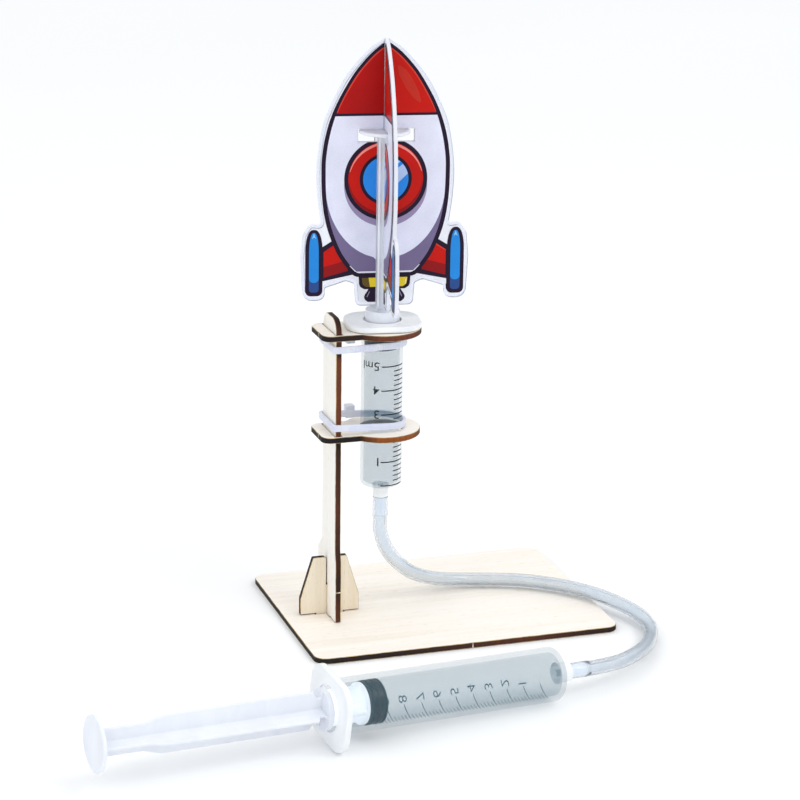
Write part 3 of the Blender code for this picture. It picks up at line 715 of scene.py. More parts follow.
def make_tie(name, height, drop, head_side, ribbed):
    """Nylon band with rounded edges, shallow teeth where they show, and its square locking head."""
    reach = AXIS_X + LIFT.outer * MM - POST_X

    def level(x):
        return (height - drop * (x - POST_X) / reach) * MM

    bm = bmesh.new()
    middle = evenly(tie_outline(TOUCH_GAP), TOOTH_PITCH / 4)
    rings = []
    corner, half = TIE_CORNER, TIE_WIDTH / 2
    for index, (point, normal) in enumerate(middle):
        depth = TIE_THICKNESS - (TOOTH_DEPTH if ribbed and index % 4 < 2 else 0.0)
        section = [(0, -half + corner), (corner, -half), (depth - corner, -half), (depth, -half + corner),
                   (depth, half - corner), (depth - corner, half), (corner, half), (0, half - corner)]
        rings.append([bm.verts.new((*(point + normal * out), level(point.x) + up)) for out, up in section])
    for ring, after in zip(rings, rings[1:] + rings[:1]):
        for i in range(len(ring)):
            j = (i + 1) % len(ring)
            bm.faces.new((ring[i], ring[j], after[j], after[i]))
    tie = add_piece(name + "_band", bm, [NYLON], Matrix.Identity(4), None)
    back = AXIS_Y + LIFT.outer * MM + TOUCH_GAP + HEAD_CORNER
    left, right = TIE_HEAD_X - TIE_HEAD.x / 2, TIE_HEAD_X + TIE_HEAD.x / 2
    outline = rounded(rectangle(left, right, back, back + TIE_HEAD.y, HEAD_CORNER), 4)
    near = level(TIE_HEAD_X) - head_side * (half + HEAD_MARGIN)
    bottom = min(near, near + head_side * TIE_HEAD.z)
    head = add_piece(name + "_head", slab(outline, [], TIE_HEAD.z, 0.3 * MM, 2), [NYLON],
                     Matrix.Translation((0, 0, bottom)), None)
    one_material(head)
    combine(tie, head, "UNION")
    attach(tie, "root")
    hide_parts(name)


# Syringes

def make_barrel(prefix, size, place):
    """Clear barrel with its rounded shoulder, finger flange, hub and tapered nozzle, hollow throughout; the
    nozzle has a painted glow.
    """
    s = size
    under = s.length - s.flange_thickness
    outer = turned([
        (0, -s.nozzle_length), (s.nozzle - 0.35, -s.nozzle_length),
        (s.nozzle - 0.17, -s.nozzle_length + 0.2),
        (s.nozzle, -s.hub_length - 0.02), (s.hub - 0.12, -s.hub_length), (s.hub, -s.hub_length + 0.15),
        (s.hub + 0.15, -0.95), (s.hub + 0.4, -0.55), (s.hub + 0.9, -0.38), (s.outer - 1.6, -0.3),
        (s.outer - 1.0, -0.12), (s.outer - 0.5, 0.22), (s.outer - 0.14, 0.8), (s.outer, 1.5),
        (s.outer, under - 0.9), (s.outer + 0.12, under - 0.4), (s.outer + 0.5, under + 0.02),
        (s.outer + 0.5, under + 0.6), (0, under + 0.6)])
    # The nozzle gets slot 2, the glowing milky white: a painted glow in place of light through the hose.
    for face in outer.faces:
        below = -face.calc_center_median().z / MM
        face.material_index = 2 if below > s.hub_length + 0.1 else 1 if below > 0.5 else 0
    barrel = add_piece(prefix + "_barrel_clear", outer, [BARREL, FLANGE, PAINTED_GLOW_WHITE], place, None)
    x, y = s.flange[0] / 2 * MM, s.flange[1] / 2 * MM
    outline = rounded(rectangle(-x, x, -y, y, s.flange_corner * MM), 14)
    lift = Matrix.Translation((0, 0, under * MM)) @ Matrix.Rotation(math.radians(s.flange_turn), 4, "Z")
    disc = slab(outline, [], s.flange_thickness * MM, FLANGE_RIM, 3)
    flange = add_piece(prefix + "_flange", disc, [FLANGE], place @ lift, None)
    one_material(flange)
    combine(barrel, flange, "UNION")
    channel = s.nozzle - 1.0
    bore = turned([
        (0, -s.nozzle_length - 1), (channel, -s.nozzle_length - 1), (channel, s.floor - 1.2),
        (s.bore - 0.5, s.floor - 0.12), (s.bore, s.floor + 0.3), (s.bore, s.length - 0.5),
        (s.bore + 0.5, s.length + 0.01), (s.bore + 0.5, s.length + 1), (0, s.length + 1)])
    combine(barrel, add_piece(prefix + "_bore", bore, [BARREL], place, None), "DIFFERENCE")
    mesh = barrel.data
    mesh.shade_smooth()
    mesh.set_sharp_from_angle(angle=math.radians(32))
    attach(barrel, "root")
    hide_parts(prefix + "_barrel")


OPTICAL_CONTACT = 0.03      # pressed rubber meets the barrel's wall, so no air film shows, in millimetres
GROOVE_DEPTH = 0.75


def make_seal(prefix, size, place, body):
    """Rubber piston with three narrow grooves, a domed front and a hollow back."""
    s = size
    wall = s.bore + OPTICAL_CONTACT
    back = s.seal_front + s.seal_length
    rim = s.seal_front + 0.6
    profile = [(0, rim - 1.1), (wall - 1.6, rim - 0.75), (wall - 0.7, rim - 0.5), (wall - 0.2, rim - 0.2),
               (wall, rim + 0.1)]
    for groove in (rim + 0.6, (rim + back) / 2, back - 0.9):
        profile += [(wall, groove - 0.28), (wall - GROOVE_DEPTH, groove - 0.18),
                    (wall - GROOVE_DEPTH, groove + 0.18), (wall, groove + 0.28)]
    profile += [(wall, back - 0.45), (wall - 0.2, back - 0.1), (wall - 0.45, back), (1.8, back),
                (1.8, back - 2.6), (0, back - 2.6)]
    piece = add_piece(prefix + "_seal_rubber", turned(profile), [RUBBER], place, body, smooth=50.0)
    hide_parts(prefix + "_piston_seal")


def cross_section(radius, half, fillet):
    """Outline of a cross-shaped rib section, with rounded rib ends and filleted inner corners."""
    quarter = [(radius, -half, half * 0.7), (radius, half, half * 0.7), (half, half, fillet)]
    corners = []
    for turn in range(4):
        rotation = Matrix.Rotation(turn * math.pi / 2, 2)
        corners += [(*(rotation @ Vector((x, y))), r) for x, y, r in quarter]
    return rounded(corners, 3)


def make_plunger(prefix, size, place, body):
    """Milky ribbed plunger with a dished thumb disc, a guide disc, and a button that holds the seal; the
    button and the rod's end inside the barrel have a painted glow.
    """
    s = size
    turn = Matrix.Rotation(math.radians(s.rib_turn), 4, "Z")
    bm = bmesh.new()
    rings = []
    for height, radius in s.stations:
        outline = cross_section(radius * MM, 0.55 * MM, 0.35 * MM)
        rings.append([bm.verts.new((p.x, p.y, height * MM)) for p in outline])
    for ring in (rings[0], rings[-1]):
        bm.faces.new(ring)
    # The rod's first stretch, by the seal, gets slot 1, the glowing milky white: a painted glow for light
    # that the barrel keeps off.
    for step, (lower, upper) in enumerate(zip(rings, rings[1:])):
        for i in range(len(lower)):
            j = (i + 1) % len(lower)
            face = bm.faces.new((lower[i], lower[j], upper[j], upper[i]))
            face.material_index = 1 if step == 0 else 0
    plunger = add_piece(prefix + "_plunger_rod", bm, [PLUNGER, PAINTED_GLOW_WHITE], place @ turn, None)
    thumb = s.disc_top - s.disc_thickness
    guide, guide_radius, guide_thickness = s.guide
    head = s.seal_front + s.seal_length + 0.3
    head_radius = s.bore - 0.35
    discs = [
        [(0, thumb), (s.disc - 0.5, thumb), (s.disc - 0.12, thumb + 0.18), (s.disc, thumb + 0.5),
         (s.disc, s.disc_top - 0.5), (s.disc - 0.14, s.disc_top - 0.15), (s.disc - 0.5, s.disc_top),
         (s.disc - 1.1, s.disc_top), (s.disc - 1.5, s.disc_top - 0.22), (0, s.disc_top - 0.22)],
        [(0, guide), (guide_radius - 0.2, guide), (guide_radius, guide + 0.2),
         (guide_radius, guide + guide_thickness - 0.2), (guide_radius - 0.2, guide + guide_thickness),
         (0, guide + guide_thickness)],
        [(0, head - 2.6), (1.5, head - 2.6), (1.5, head), (head_radius, head), (head_radius, head + 1.1),
         (head_radius - 0.2, head + 1.3), (0, head + 1.3)]]
    # The seal's button (the last profile) gets the glowing milky white: a painted glow.
    for profile, material in zip(discs, (PLUNGER, PLUNGER, PAINTED_GLOW_WHITE)):
        disc = add_piece(prefix + "_disc", turned(profile), [material], place @ turn, None)
        combine(plunger, disc, "UNION")
    plunger.data.shade_smooth()
    plunger.data.set_sharp_from_angle(angle=math.radians(34))
    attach(plunger, body)
    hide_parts(prefix + "_plunger")


# Printed scales

INK_LIFT = 0.035            # ink stands this far off the barrel, in millimetres
CAPITAL = 0.729             # height of a capital in the built-in typeface
LETTER_GAP = 0.75           # from the start of a long line to its number
LIFT_SCALE = SimpleNamespace(zero=1.1, pitch=8.55, marks=5, start=251.7, sweep=75.0, minor=(36.0, 75.0),
                             line=0.42, letters=3.15, stretch=1.1, weight=0.002, unit="5ml")
HAND_SCALE = SimpleNamespace(zero=1.0, pitch=6.31, marks=10, start=127.0, sweep=40.0, minor=(24.0, 40.0),
                             line=0.3, letters=3.1, stretch=1.35, weight=-0.006, unit="10ml")


def wrapped(point_angle, height, radius):
    return Vector((radius * math.cos(point_angle), radius * math.sin(point_angle), height)) * MM


def scale_tick(bm, radius, height, start, end, width):
    """A thin line of ink that follows the barrel from one angle to another."""
    steps = max(4, round((end - start) / 3))
    rows = []
    for step in range(steps + 1):
        angle = math.radians(start + (end - start) * step / steps)
        rows.append([bm.verts.new(wrapped(angle, height + side * width / 2, radius)) for side in (-1, 1)])
    for a, b in zip(rows, rows[1:]):
        bm.faces.new((a[0], b[0], b[1], a[1]))


def add_ink(name, bm, place, materials, body):
    """One flat printed piece from its mesh, set in place on what it is printed on."""
    bm.transform(place)
    mesh = bpy.data.meshes.new(name)
    bm.to_mesh(mesh)
    bm.free()
    for material in materials:
        mesh.materials.append(material)
    piece = bpy.data.objects.new(name, mesh)
    bpy.context.scene.collection.objects.link(piece)
    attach(piece, body)


def scale_letters(bm, text, radius, height, scale):
    """Letters wrapped on the barrel, with their tops towards the nozzle, beside the tick's start."""
    curve = bpy.data.curves.new("letters", "FONT")
    curve.body = text
    curve.offset = scale.weight
    curve.resolution_u = 4
    item = bpy.data.objects.new("letters", curve)
    bpy.context.scene.collection.objects.link(item)
    bpy.context.view_layer.update()
    mesh = bpy.data.meshes.new_from_object(item)
    bpy.data.objects.remove(item)
    xs = [v.co.x for v in mesh.vertices]
    size = scale.letters / CAPITAL
    verts = []
    for vertex in mesh.vertices:
        along = (vertex.co.x - min(xs)) * size * scale.stretch
        up = (vertex.co.y - CAPITAL / 2) * size
        angle = math.radians(scale.start) - (along + LETTER_GAP) / radius
        verts.append(bm.verts.new(wrapped(angle, height - up, radius)))
    for polygon in mesh.polygons:
        bm.faces.new([verts[i] for i in polygon.vertices])


def make_scale(prefix, size, scale, place, material):
    """Graduation: a long line with its number for each millilitre, and four short ones between."""
    radius = size.outer + INK_LIFT
    bm = bmesh.new()
    for mark in range(scale.marks + 1):
        height = scale.zero + scale.pitch * mark
        scale_tick(bm, radius, height, scale.start, scale.start + scale.sweep, scale.line)
        if mark:
            text = scale.unit if mark == scale.marks else str(mark)
            scale_letters(bm, text, radius, height, scale)
        if mark < scale.marks:
            for step in range(1, 5):
                scale_tick(bm, radius, height + scale.pitch * step / 5, scale.start + scale.minor[0],
                           scale.start + scale.minor[1], scale.line * 0.9)
    add_ink(prefix + "_scale", bm, place, [material], "root")


# Hose

def hose_path():
    """The hose's centreline, from the hub of the lift nozzle to the hub of the hand nozzle."""
    def below(place, distance):
        """A point on a syringe's axis, this many millimetres beyond its shoulder."""
        return place @ Vector((0, 0, -distance * MM))

    lift, hand = lift_place(), hand_place()
    gap = TOUCH_GAP / MM
    start = [below(lift, LIFT.hub_length + 0.1), below(lift, LIFT.nozzle_length + gap)]
    finish = [below(hand, HAND.nozzle_length + HOSE_LEAD), below(hand, HAND.nozzle_length + gap),
              below(hand, HAND.hub_length + 0.1)]
    fine = smooth_curve(start + [Vector(point) * MM for point in HOSE_ROUTE] + finish, 40)
    lengths = [(b - a).length for a, b in zip(fine, fine[1:])]
    total = sum(lengths)
    count = round(total / HOSE_SPACING)
    path, travelled, index = [fine[0]], 0.0, 0
    for step in range(1, count):
        target = total * step / count
        while travelled + lengths[index] < target:
            travelled += lengths[index]
            index += 1
        path.append(fine[index].lerp(fine[index + 1], (target - travelled) / lengths[index]))
    return path + [fine[-1]]


def ease(value, low, high):
    """0 below low, 1 above high, and smooth between."""
    t = min(1.0, max(0.0, (value - low) / (high - low)))
    return t * t * (3 - 2 * t)


def hose_section(from_start, from_end):
    """Outer and inner radius of the hose, which is stretched over a nozzle at each end."""
    outer, inner = HOSE_RADIUS, HOSE_BORE
    for distance, size in ((from_start, LIFT), (from_end, HAND)):
        nozzle = (size.nozzle_length - size.hub_length) * MM
        grip = 1 - ease(distance, nozzle - 0.2 * MM, nozzle + 2.2 * MM)
        outer += HOSE_SLEEVE * grip
        inner += ((size.nozzle + OPTICAL_CONTACT) * MM - HOSE_BORE) * grip
    return outer, inner


def make_hose():
    """Hollow tube swept along the path, open at both ends round the nozzles."""
    path = hose_path()
    length = sum((b - a).length for a, b in zip(path, path[1:]))
    bm = bmesh.new()
    side = Vector((1, 0, 0))
    outside, inside = [], []
    travelled = 0.0
    for index, point in enumerate(path):
        before, after = path[max(index - 1, 0)], path[min(index + 1, len(path) - 1)]
        travelled += (point - path[index - 1]).length if index else 0.0
        tangent = (after - before).normalized()
        side = (side - tangent * side.dot(tangent)).normalized()
        up = tangent.cross(side)
        for ring_list, radius in zip((outside, inside), hose_section(travelled, length - travelled)):
            angles = [2 * math.pi * step / HOSE_STEPS for step in range(HOSE_STEPS)]
            ring_list.append([bm.verts.new(point + side * math.cos(a) * radius + up * math.sin(a) * radius)
                              for a in angles])
    sheets = [list(zip(outside, outside[1:])), list(zip(inside, inside[1:])),
              [(outside[0], inside[0]), (outside[-1], inside[-1])]]
    for pairs in sheets:
        for a, b in pairs:
            for i in range(HOSE_STEPS):
                j = (i + 1) % HOSE_STEPS
                bm.faces.new((a[i], a[j], b[j], b[i]))
    hose = add_piece("hose_tube", bm, [HOSE], Matrix.Identity(4), "root", smooth=50.0)
    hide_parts("hose")


# Rocket boards. Each print is drawn in millimetres: u out from the middle, z above the table.

BOARD_FOOT = 113.1
BOARD_TIP = 204.5
ROD_SLOT = 2.95
WINDOW_HALF = 9.5
WINDOW_LOW, WINDOW_HIGH = 169.8, 174.1
SLIT_HALF = BOARD_THICKNESS / MM / 2 + 0.15
SLIT_MIDDLE = 189.4
BOARD_CORNERS = (
    (9.9, 113.1, 2.0), (10.4, 120.9, 1.0), (13.2, 121.9, 1.0), (20.4, 119.6, 0.8), (20.4, 115.2, 2.6),
    (28.0, 115.2, 3.4), (28.8, 130.0, 8.0), (28.0, 138.0, 3.0), (25.6, 141.9, 2.0), (22.2, 141.4, 0.8),
    (21.9, 142.4, 0))
BOARD_BODY = (
    (21.9, 142.4), (23.1, 152.0), (23.3, 161.0), (22.2, 170.5), (20.1, 178.8),
    (14.1, 191.0), (6.6, 200.2), (1.2, 204.1))


def board_side():
    """Right edge of a board, from its foot to its tip."""
    lower = rounded([(ROD_SLOT, BOARD_FOOT, 0)] + list(BOARD_CORNERS), 8)
    return lower + smooth_curve(BOARD_BODY, 8)[1:]


def mirrored(points):
    return [Vector((-p.x, p.y)) for p in reversed(points)]


def board_outline(slit_from_tip):
    """Whole outline of a board: up the right edge, over the tip, and in round the slot and window."""
    side = board_side()
    window_left = [Vector(p) for p in (
        (-ROD_SLOT, WINDOW_LOW), (-WINDOW_HALF, WINDOW_LOW), (-WINDOW_HALF, WINDOW_HIGH))]
    if slit_from_tip:
        tip_right = [Vector((SLIT_HALF, BOARD_TIP - 0.2)), Vector((SLIT_HALF, SLIT_MIDDLE - 0.25))]
        tip, slit = tip_right + mirrored(tip_right), []
    else:
        slit_left = [Vector((-SLIT_HALF, WINDOW_HIGH)), Vector((-SLIT_HALF, SLIT_MIDDLE + 0.25))]
        tip, slit = [Vector((0, BOARD_TIP))], slit_left + mirrored(slit_left)
    return side + tip + mirrored(side) + window_left + slit + mirrored(window_left)


CUT_MARGIN = 0.14           # the print stops this far from the slot, window and slit

# How far from the middle the print may come, for each range of height
CLEARANCE = (
    (BOARD_FOOT, WINDOW_LOW - CUT_MARGIN, ROD_SLOT + CUT_MARGIN),
    (WINDOW_LOW - CUT_MARGIN, WINDOW_HIGH + CUT_MARGIN, WINDOW_HALF + CUT_MARGIN),
    (WINDOW_HIGH + CUT_MARGIN, BOARD_TIP, SLIT_HALF + CUT_MARGIN),
)
RING_MIDDLE = 157.0
POD_MIDDLE = 24.2
BODY_EDGE = (
    (123.3, 9.4), (124.0, 10.9), (126.0, 12.6), (131.1, 16.1), (138.0, 19.0), (144.5, 20.7), (152.0, 21.6),
    (160.0, 21.8), (165.0, 21.6), (171.5, 20.6), (178.0, 18.75), (184.6, 15.9), (192.2, 11.5),
    (196.5, 8.2), (199.9, 5.0), (202.3, 2.0), (203.2, 0.4))
NOSE_LINE = 179.0
GREY_CENTRE, GREY_HALF_WIDTH, GREY_HALF_HEIGHT = 155.6, 20.4, 26.0


def reader(points):
    """A function that reads u for any z along a list of (z, u)."""
    def read(z):
        for (z0, u0), (z1, u1) in zip(points, points[1:]):
            if z0 <= z <= z1:
                return u0 + (u1 - u0) * (z - z0) / max(z1 - z0, 1e-9)
        return points[0][1] if z < points[0][0] else points[-1][1]
    return read


def thinner(points, thickness):
    """The profile moved inwards by a thickness that depends on height."""
    moved = []
    for before, point, after in zip(points[:1] + points[:-1], points, points[1:] + points[-1:]):
        rise, run = after[0] - before[0], after[1] - before[1]
        size = math.hypot(rise, run)
        depth = thickness(point[0])
        moved.append((point[0] + depth * run / size, max(0.0, point[1] - depth * rise / size)))
    return sorted(moved)


BODY_POINTS = [tuple(p) for p in smooth_curve(BODY_EDGE, 6)]
BODY_OUT = reader(BODY_POINTS)
BODY_IN = reader(thinner(BODY_POINTS, lambda z: 1.45 - 0.35 * ease(z, 170.0, 190.0)))


def disc(radius, middle=RING_MIDDLE, across=0.0):
    """Half-width of a circle at a height."""
    return lambda z: across + math.sqrt(max(0.0, radius ** 2 - (z - middle) ** 2))


def grey_arc(z):
    if z <= GREY_CENTRE - GREY_HALF_HEIGHT:
        return 0.0
    return GREY_HALF_WIDTH * math.sqrt(max(0.0, 1 - ((GREY_CENTRE - z) / GREY_HALF_HEIGHT) ** 2))


def none(z):
    return 0.0


GLASS_RADIUS = 7.6          # the stripes stay just inside the porthole's glass


def stripe(slope, low, high):
    """Part of the glass's right half that lies between two slanted lines."""
    start = ROD_SLOT + CUT_MARGIN
    angles = [math.pi * (step / 96 - 0.5) for step in range(97)]
    edge = [(GLASS_RADIUS * math.cos(a), GLASS_RADIUS * math.sin(a)) for a in angles]
    inside = [(u, z + RING_MIDDLE) for u, z in edge if u > start and low <= z - slope * u <= high]
    bottom, top = ((start, RING_MIDDLE + height + slope * start) for height in (low, high))
    return [bottom] + inside + [top]


def pod(half_width, low, high, taper, foot):
    """Outline of a side pod: pointed like a flame at the top and rounded at the foot."""
    middle = POD_MIDDLE
    top = [(middle + half_width * math.cos(a) ** 0.8, high - taper + taper * math.sin(a))
           for a in [math.pi / 2 * step / 10 for step in range(10)]]
    left = [(2 * middle - u, z) for u, z in reversed(top)]
    bottom = rounded([(middle - half_width, low + foot + 1, 0), (middle - half_width, low, foot),
                      (middle + half_width, low, foot), (middle + half_width, low + foot + 1, 0)], 5)
    return [tuple(p) for p in bottom] + top + [(middle, high)] + left


COLLAR_EDGE = reader([(119.7, 6.2), (120.1, 7.1), (120.8, 7.6), (122.9, 7.8)])

# Each printed area: ink, layer, side of the print that it is on, and its shape. A strip runs between
# two half-widths over a range of height, and a patch is a plain outline.
PRINT = [
    ("dark", 2, "both", "patch",
     [(11.0, 124.1), (21.9, 121.9), (21.9, 133.6), (16.3, 137.1), (13.5, 131.0)]),
    ("red", 3, "both", "patch",
     [(12.6, 126.1), (20.9, 124.5), (20.9, 132.2), (16.9, 134.9), (14.6, 131.0)]),
    ("shade_red", 4, "both", "patch", [(12.6, 125.5), (20.9, 123.3), (20.9, 127.0), (13.9, 128.9)]),
    ("coral", 5, "right", "patch", [(16.9, 134.9), (20.9, 132.2), (20.9, 131.8), (16.8, 134.4)]),
    ("dark", 2, "both", "strip", 118.9, 123.6, none,
     reader([(118.9, 6.9), (119.4, 8.0), (120.2, 8.7), (123.6, 8.9)])),
    ("yellow", 3, "both", "strip", 119.7, 122.9, none, COLLAR_EDGE),
    ("olive", 4, "left", "strip", 119.7, 122.9, reader([(119.7, 5.0), (122.9, 5.5)]), COLLAR_EDGE),
    ("white", 4, "right", "strip", 120.5, 122.3,
     reader([(120.5, 7.05), (122.3, 7.2)]), reader([(120.5, 7.3), (122.3, 7.5)])),
    ("dark", 2, "both", "strip", 114.4, 119.0, none,
     reader([(114.4, 5.6), (114.9, 6.5), (115.9, 7.1), (117.0, 6.8), (118.2, 5.9), (119.0, 5.5)])),
    ("crescent", 4, "both", "patch", [(5.0, 118.1), (5.25, 118.1), (6.1, 116.3), (5.85, 116.1)]),
    ("dark", 6, "both", "strip", 123.3, 203.2, none, BODY_OUT),
    ("lavender", 7, "both", "strip", 124.6, NOSE_LINE - 0.45, none, BODY_IN),
    ("grey", 8, "both", "strip", 124.9, 150.5, grey_arc, BODY_IN),
    ("white", 9, "both", "strip", 124.75, 125.15, none, reader([(124.7, 9.3), (125.2, 10.0)])),
    ("white", 9, "both", "strip", 125.15, 127.2, reader([(125.15, 9.7), (127.2, 11.75)]),
     reader([(125.15, 10.1), (127.2, 12.05)])),
    ("deep_red", 7, "left", "strip", NOSE_LINE + 0.45, 202.0, none, BODY_IN),
    ("red", 7, "right", "strip", NOSE_LINE + 0.45, 202.0, none, BODY_IN),
    ("coral", 8, "both", "strip", NOSE_LINE + 0.8, 201.4,
     reader(thinner(BODY_POINTS, lambda z: 1.55)), BODY_IN),
    ("leaf", 8, "right", "patch",
     [(3.5, 195.2), (4.4, 195.4), (6.3, 194.0), (8.0, 191.8), (9.6, 189.0), (11.0, 186.0),
      (11.7, 183.0), (11.1, 182.8), (8.9, 184.5), (6.3, 187.9), (4.1, 192.1)]),
    ("crescent", 8, "both", "strip", 140.7, 158.0, none, disc(14.1, 154.8)),
    ("dark", 9, "both", "strip", 142.9, 171.1, none, disc(14.1)),
    ("red", 10, "both", "strip", RING_MIDDLE - 12.7, RING_MIDDLE + 12.7, disc(8.85), disc(12.7)),
    ("pink", 11, "both", "strip", RING_MIDDLE + 2.6, RING_MIDDLE + 12.5,
     disc(12.55, RING_MIDDLE - 0.95), disc(12.5)),
    ("shade_red", 11, "both", "strip", RING_MIDDLE - 12.6, RING_MIDDLE - 1.0,
     disc(12.55, RING_MIDDLE + 1.0), disc(12.6)),
    ("glass", 10, "both", "strip", RING_MIDDLE - 7.7, RING_MIDDLE + 7.7, none, disc(7.7)),
    ("sky", 11, "right", "patch", stripe(0.9, -5.2, 0.2)),
    ("sky", 11, "right", "patch", stripe(0.9, 1.4, 3.4)),
    ("dark", 6, "both", "patch", pod(2.95, 116.9, 140.0, 7.5, 1.9)),
    ("navy", 7, "both", "patch", pod(1.68, 118.2, 124.0, 0.5, 1.1)),
    ("blue", 8, "both", "patch", pod(1.65, 121.6, 138.9, 7.0, 1.5)),
    ("tip", 9, "both", "patch", [(POD_MIDDLE, 138.8), (POD_MIDDLE - 0.7, 136.8), (POD_MIDDLE, 137.4),
                                 (POD_MIDDLE + 0.7, 136.8)]),
]


def paint_strip(bm, low, high, inner, outer, level, mirror, slot):
    """A printed strip, cut back where the board has its slot, window or slit."""
    for clear_low, clear_high, clear in CLEARANCE:
        bottom, top = max(low, clear_low), min(high, clear_high)
        if top - bottom < 0.05:
            continue
        count = max(6, round((top - bottom) / 0.7))
        rows = []
        for step in range(count + 1):
            z = bottom + (top - bottom) * (0.5 - 0.5 * math.cos(math.pi * step / count))
            start = max(inner(z), clear)
            end = max(outer(z), start)
            rows.append([bm.verts.new((mirror * u * MM, z * MM, level)) for u in (start, end)])
        for a, b in zip(rows, rows[1:]):
            widths = [(row[1].co - row[0].co).length for row in (a, b)]
            if max(widths) > 1e-6:
                bm.faces.new((a[0], a[1], b[1], b[0])).material_index = slot


def paint_patch(bm, points, level, mirror, slot):
    """A printed patch with a plain outline."""
    verts = [bm.verts.new((mirror * u * MM, z * MM, level)) for u, z in points]
    for triangle in tessellate_polygon([[vert.co for vert in verts]]):
        bm.faces.new([verts[i] for i in triangle]).material_index = slot


def backing(bm, level, ink_slot):
    """White backing under the whole print, inside the board's clear border."""
    slit, window, slot = (half + CUT_MARGIN for half in (SLIT_HALF, WINDOW_HALF, ROD_SLOT))
    high, low = WINDOW_HIGH + CUT_MARGIN, WINDOW_LOW - CUT_MARGIN
    closing = [Vector(p) for p in (
        (slit, 203.6), (slit, high), (window, high), (window, low), (slot, low), (slot, BOARD_FOOT + 0.3))]
    whole = board_side()[1:] + mirrored(board_side()[1:])
    shrunk = inset(whole, PRINT_MARGIN / MM)[:len(board_side()) - 1]
    edge = [p for p in shrunk if p.x > slit + 0.05 and p.y < 203.4]
    for mirror in (1, -1):
        paint_patch(bm, [(p.x, p.y) for p in edge + closing], level, mirror, ink_slot)


def make_print(name, place, back):
    """The toy rocket printed on one face of a board."""
    bm = bmesh.new()
    order = list(INKS)
    surface = BOARD_THICKNESS / 2
    backing(bm, surface + INK_STEP, order.index("white"))
    for colour, layer, side, kind, *shape in PRINT:
        for mirror, half in ((1, "right"), (-1, "left")):
            if side in ("both", half):
                level = surface + INK_STEP * layer
                if kind == "strip":
                    paint_strip(bm, *shape, level, mirror, order.index(colour))
                else:
                    paint_patch(bm, shape[0], level, mirror, order.index(colour))
    bmesh.ops.remove_doubles(bm, verts=bm.verts, dist=2e-7)
    bmesh.ops.dissolve_degenerate(bm, dist=1e-7, edges=bm.edges)
    for face in bm.faces:
        face.normal_update()
        if face.normal.z < 0:
            face.normal_flip()
    turn = Matrix.Rotation(math.pi, 4, "Y") if back else Matrix.Identity(4)
    add_ink(name, bm, place @ turn, INKS.values(), "rocket")


def make_rocket_board(node, turn, slit_from_tip):
    """A clear board printed on both faces: local X is u, local Y the height."""
    upright = frame_matrix((1, 0, 0), (0, 0, 1), (0, 0, 0))
    shift = Matrix.Rotation(ROCKET_TURN, 3, "Z") @ Vector((BOARD_OFFSET, 0, 0))
    middle = Matrix.Translation(Vector((AXIS_X, AXIS_Y, 0)) + shift)
    place = middle @ Matrix.Rotation(ROCKET_TURN + turn, 4, "Z") @ upright
    outline = [p * MM for p in board_outline(slit_from_tip)]
    back = Matrix.Translation((0, 0, -BOARD_THICKNESS / 2))
    piece = add_piece(node + "_clear", slab(outline, [], BOARD_THICKNESS, BOARD_RIM),
                      [ACRYLIC, ACRYLIC_EDGE, ACRYLIC_EDGE], place @ back, "rocket", smooth=30.0)
    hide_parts(node)
    make_print(node + "_print_near", place, False)
    make_print(node + "_print_far", place, True)


# Studio

FLOOR_GAP = 0.0002          # the floor lies this far under the base
SOFTBOX_AIM = (-0.02, -0.03, 0.08)


def make_floor():
    """A plain pale floor."""
    paint = Paint("studio_floor", Roughness=0.8, Specular_IOR_Level=0.1)
    wash = paint.noise(paint.stretched(2, 2, 2), detail=1)
    paint.feed("Base Color", paint.ramp(wash, (0.3, srgb(250, 250, 250)), (0.7, srgb(252, 252, 252))))
    bm = bmesh.new()
    reach = 6.0
    signs = ((-1, -1), (1, -1), (1, 1), (-1, 1))
    bm.faces.new([bm.verts.new((reach * x, reach * y, 0)) for x, y in signs])
    place = Matrix.Translation((0, 0, -FLOOR_GAP))
    floor = add_piece("floor", bm, [paint.material], place, None, smooth=0)


def add_softbox(name, position, size, power, colour=(1, 1, 1)):
    """An area light that faces the object."""
    data = bpy.data.lights.new(name, "AREA")
    data.shape = "RECTANGLE"
    data.size, data.size_y = size
    data.energy = power
    data.color = colour
    light = bpy.data.objects.new(name, data)
    bpy.context.scene.collection.objects.link(light)
    direction = Vector(SOFTBOX_AIM) - Vector(position)
    light.rotation_euler = direction.to_track_quat("-Z", "Y").to_euler()
    light.location = position


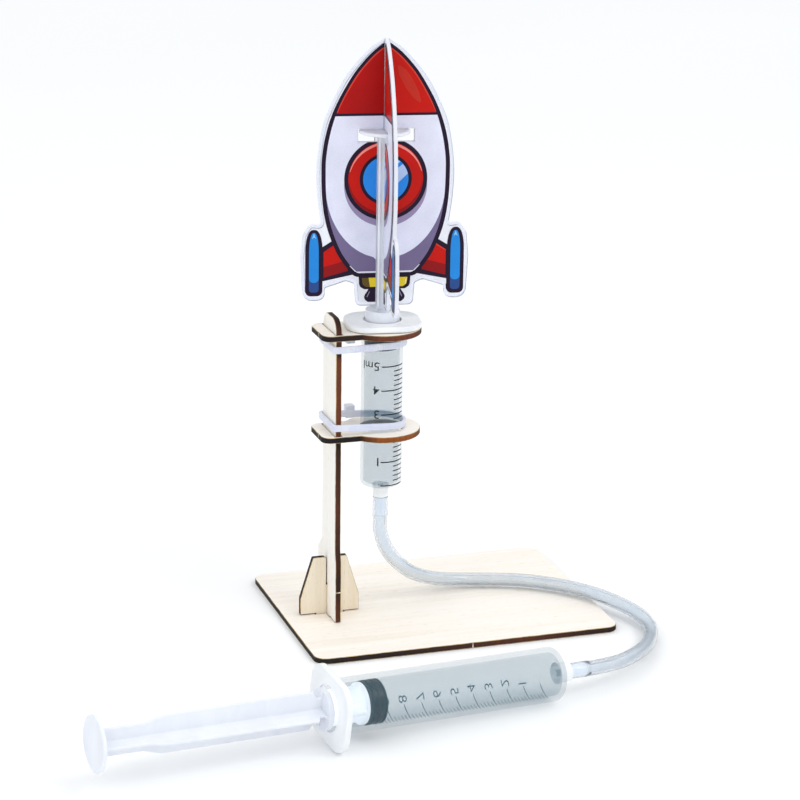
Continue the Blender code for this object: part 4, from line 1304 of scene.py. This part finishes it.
def make_studio():
    """Even white surroundings with a soft key from the upper right."""
    scene = bpy.context.scene
    world = bpy.data.worlds.new("studio")
    world.use_nodes = True
    tree = world.node_tree
    direction = tree.nodes.new("ShaderNodeTexCoord").outputs["Generated"]
    parts = tree.nodes.new("ShaderNodeSeparateXYZ")
    tree.links.new(direction, parts.inputs[0])
    ramp = tree.nodes.new("ShaderNodeValToRGB")
    tree.links.new(parts.outputs["Z"], ramp.inputs["Fac"])
    low, high = ramp.color_ramp.elements
    low.position, low.color = 0.08, (0.50, 0.56, 0.62, 1)
    high.position, high.color = 0.42, (0.97, 0.985, 1.0, 1)
    tree.links.new(ramp.outputs["Color"], tree.nodes["Background"].inputs["Color"])
    tree.nodes["Background"].inputs["Strength"].default_value = 1.03
    scene.world = world
    scene.view_settings.view_transform = "Standard"
    add_softbox("key", (0.55, -0.75, 1.15), (0.8, 0.6), 4.0, (1.0, 0.985, 0.96))
    add_softbox("fill", (-0.95, -0.7, 0.6), (0.7, 0.9), 1.5, (0.95, 0.98, 1.0))


def main():
    make_camera()
    make_hose()
    make_base()
    make_post()
    make_brace()
    make_clamp_plate("lower_clamp_plate", EDGE_LOWER)
    make_clamp_plate("upper_clamp_plate", EDGE_UPPER)
    make_nicks()
    for name, (height, drop, head_side, ribbed) in TIES.items():
        make_tie(name, height, drop, head_side, ribbed)
    for prefix, size, place in (("lift", LIFT, lift_place()), ("hand", HAND, hand_place())):
        make_barrel(prefix, size, place)
    make_seal("lift", LIFT, lift_place(), "lift_piston")
    make_seal("hand", HAND, hand_place(), "hand_piston")
    make_plunger("lift", LIFT, lift_place(), "rocket")
    make_plunger("hand", HAND, hand_place(), "hand_rod")
    make_scale("lift", LIFT, LIFT_SCALE, lift_place(), SCALE_BLACK)
    make_scale("hand", HAND, HAND_SCALE, hand_place(), SCALE_GREY)
    make_rocket_board("rocket_front_board", 0.0, True)
    make_rocket_board("rocket_cross_board", math.pi / 2, False)
    make_floor()
    make_studio()


main()
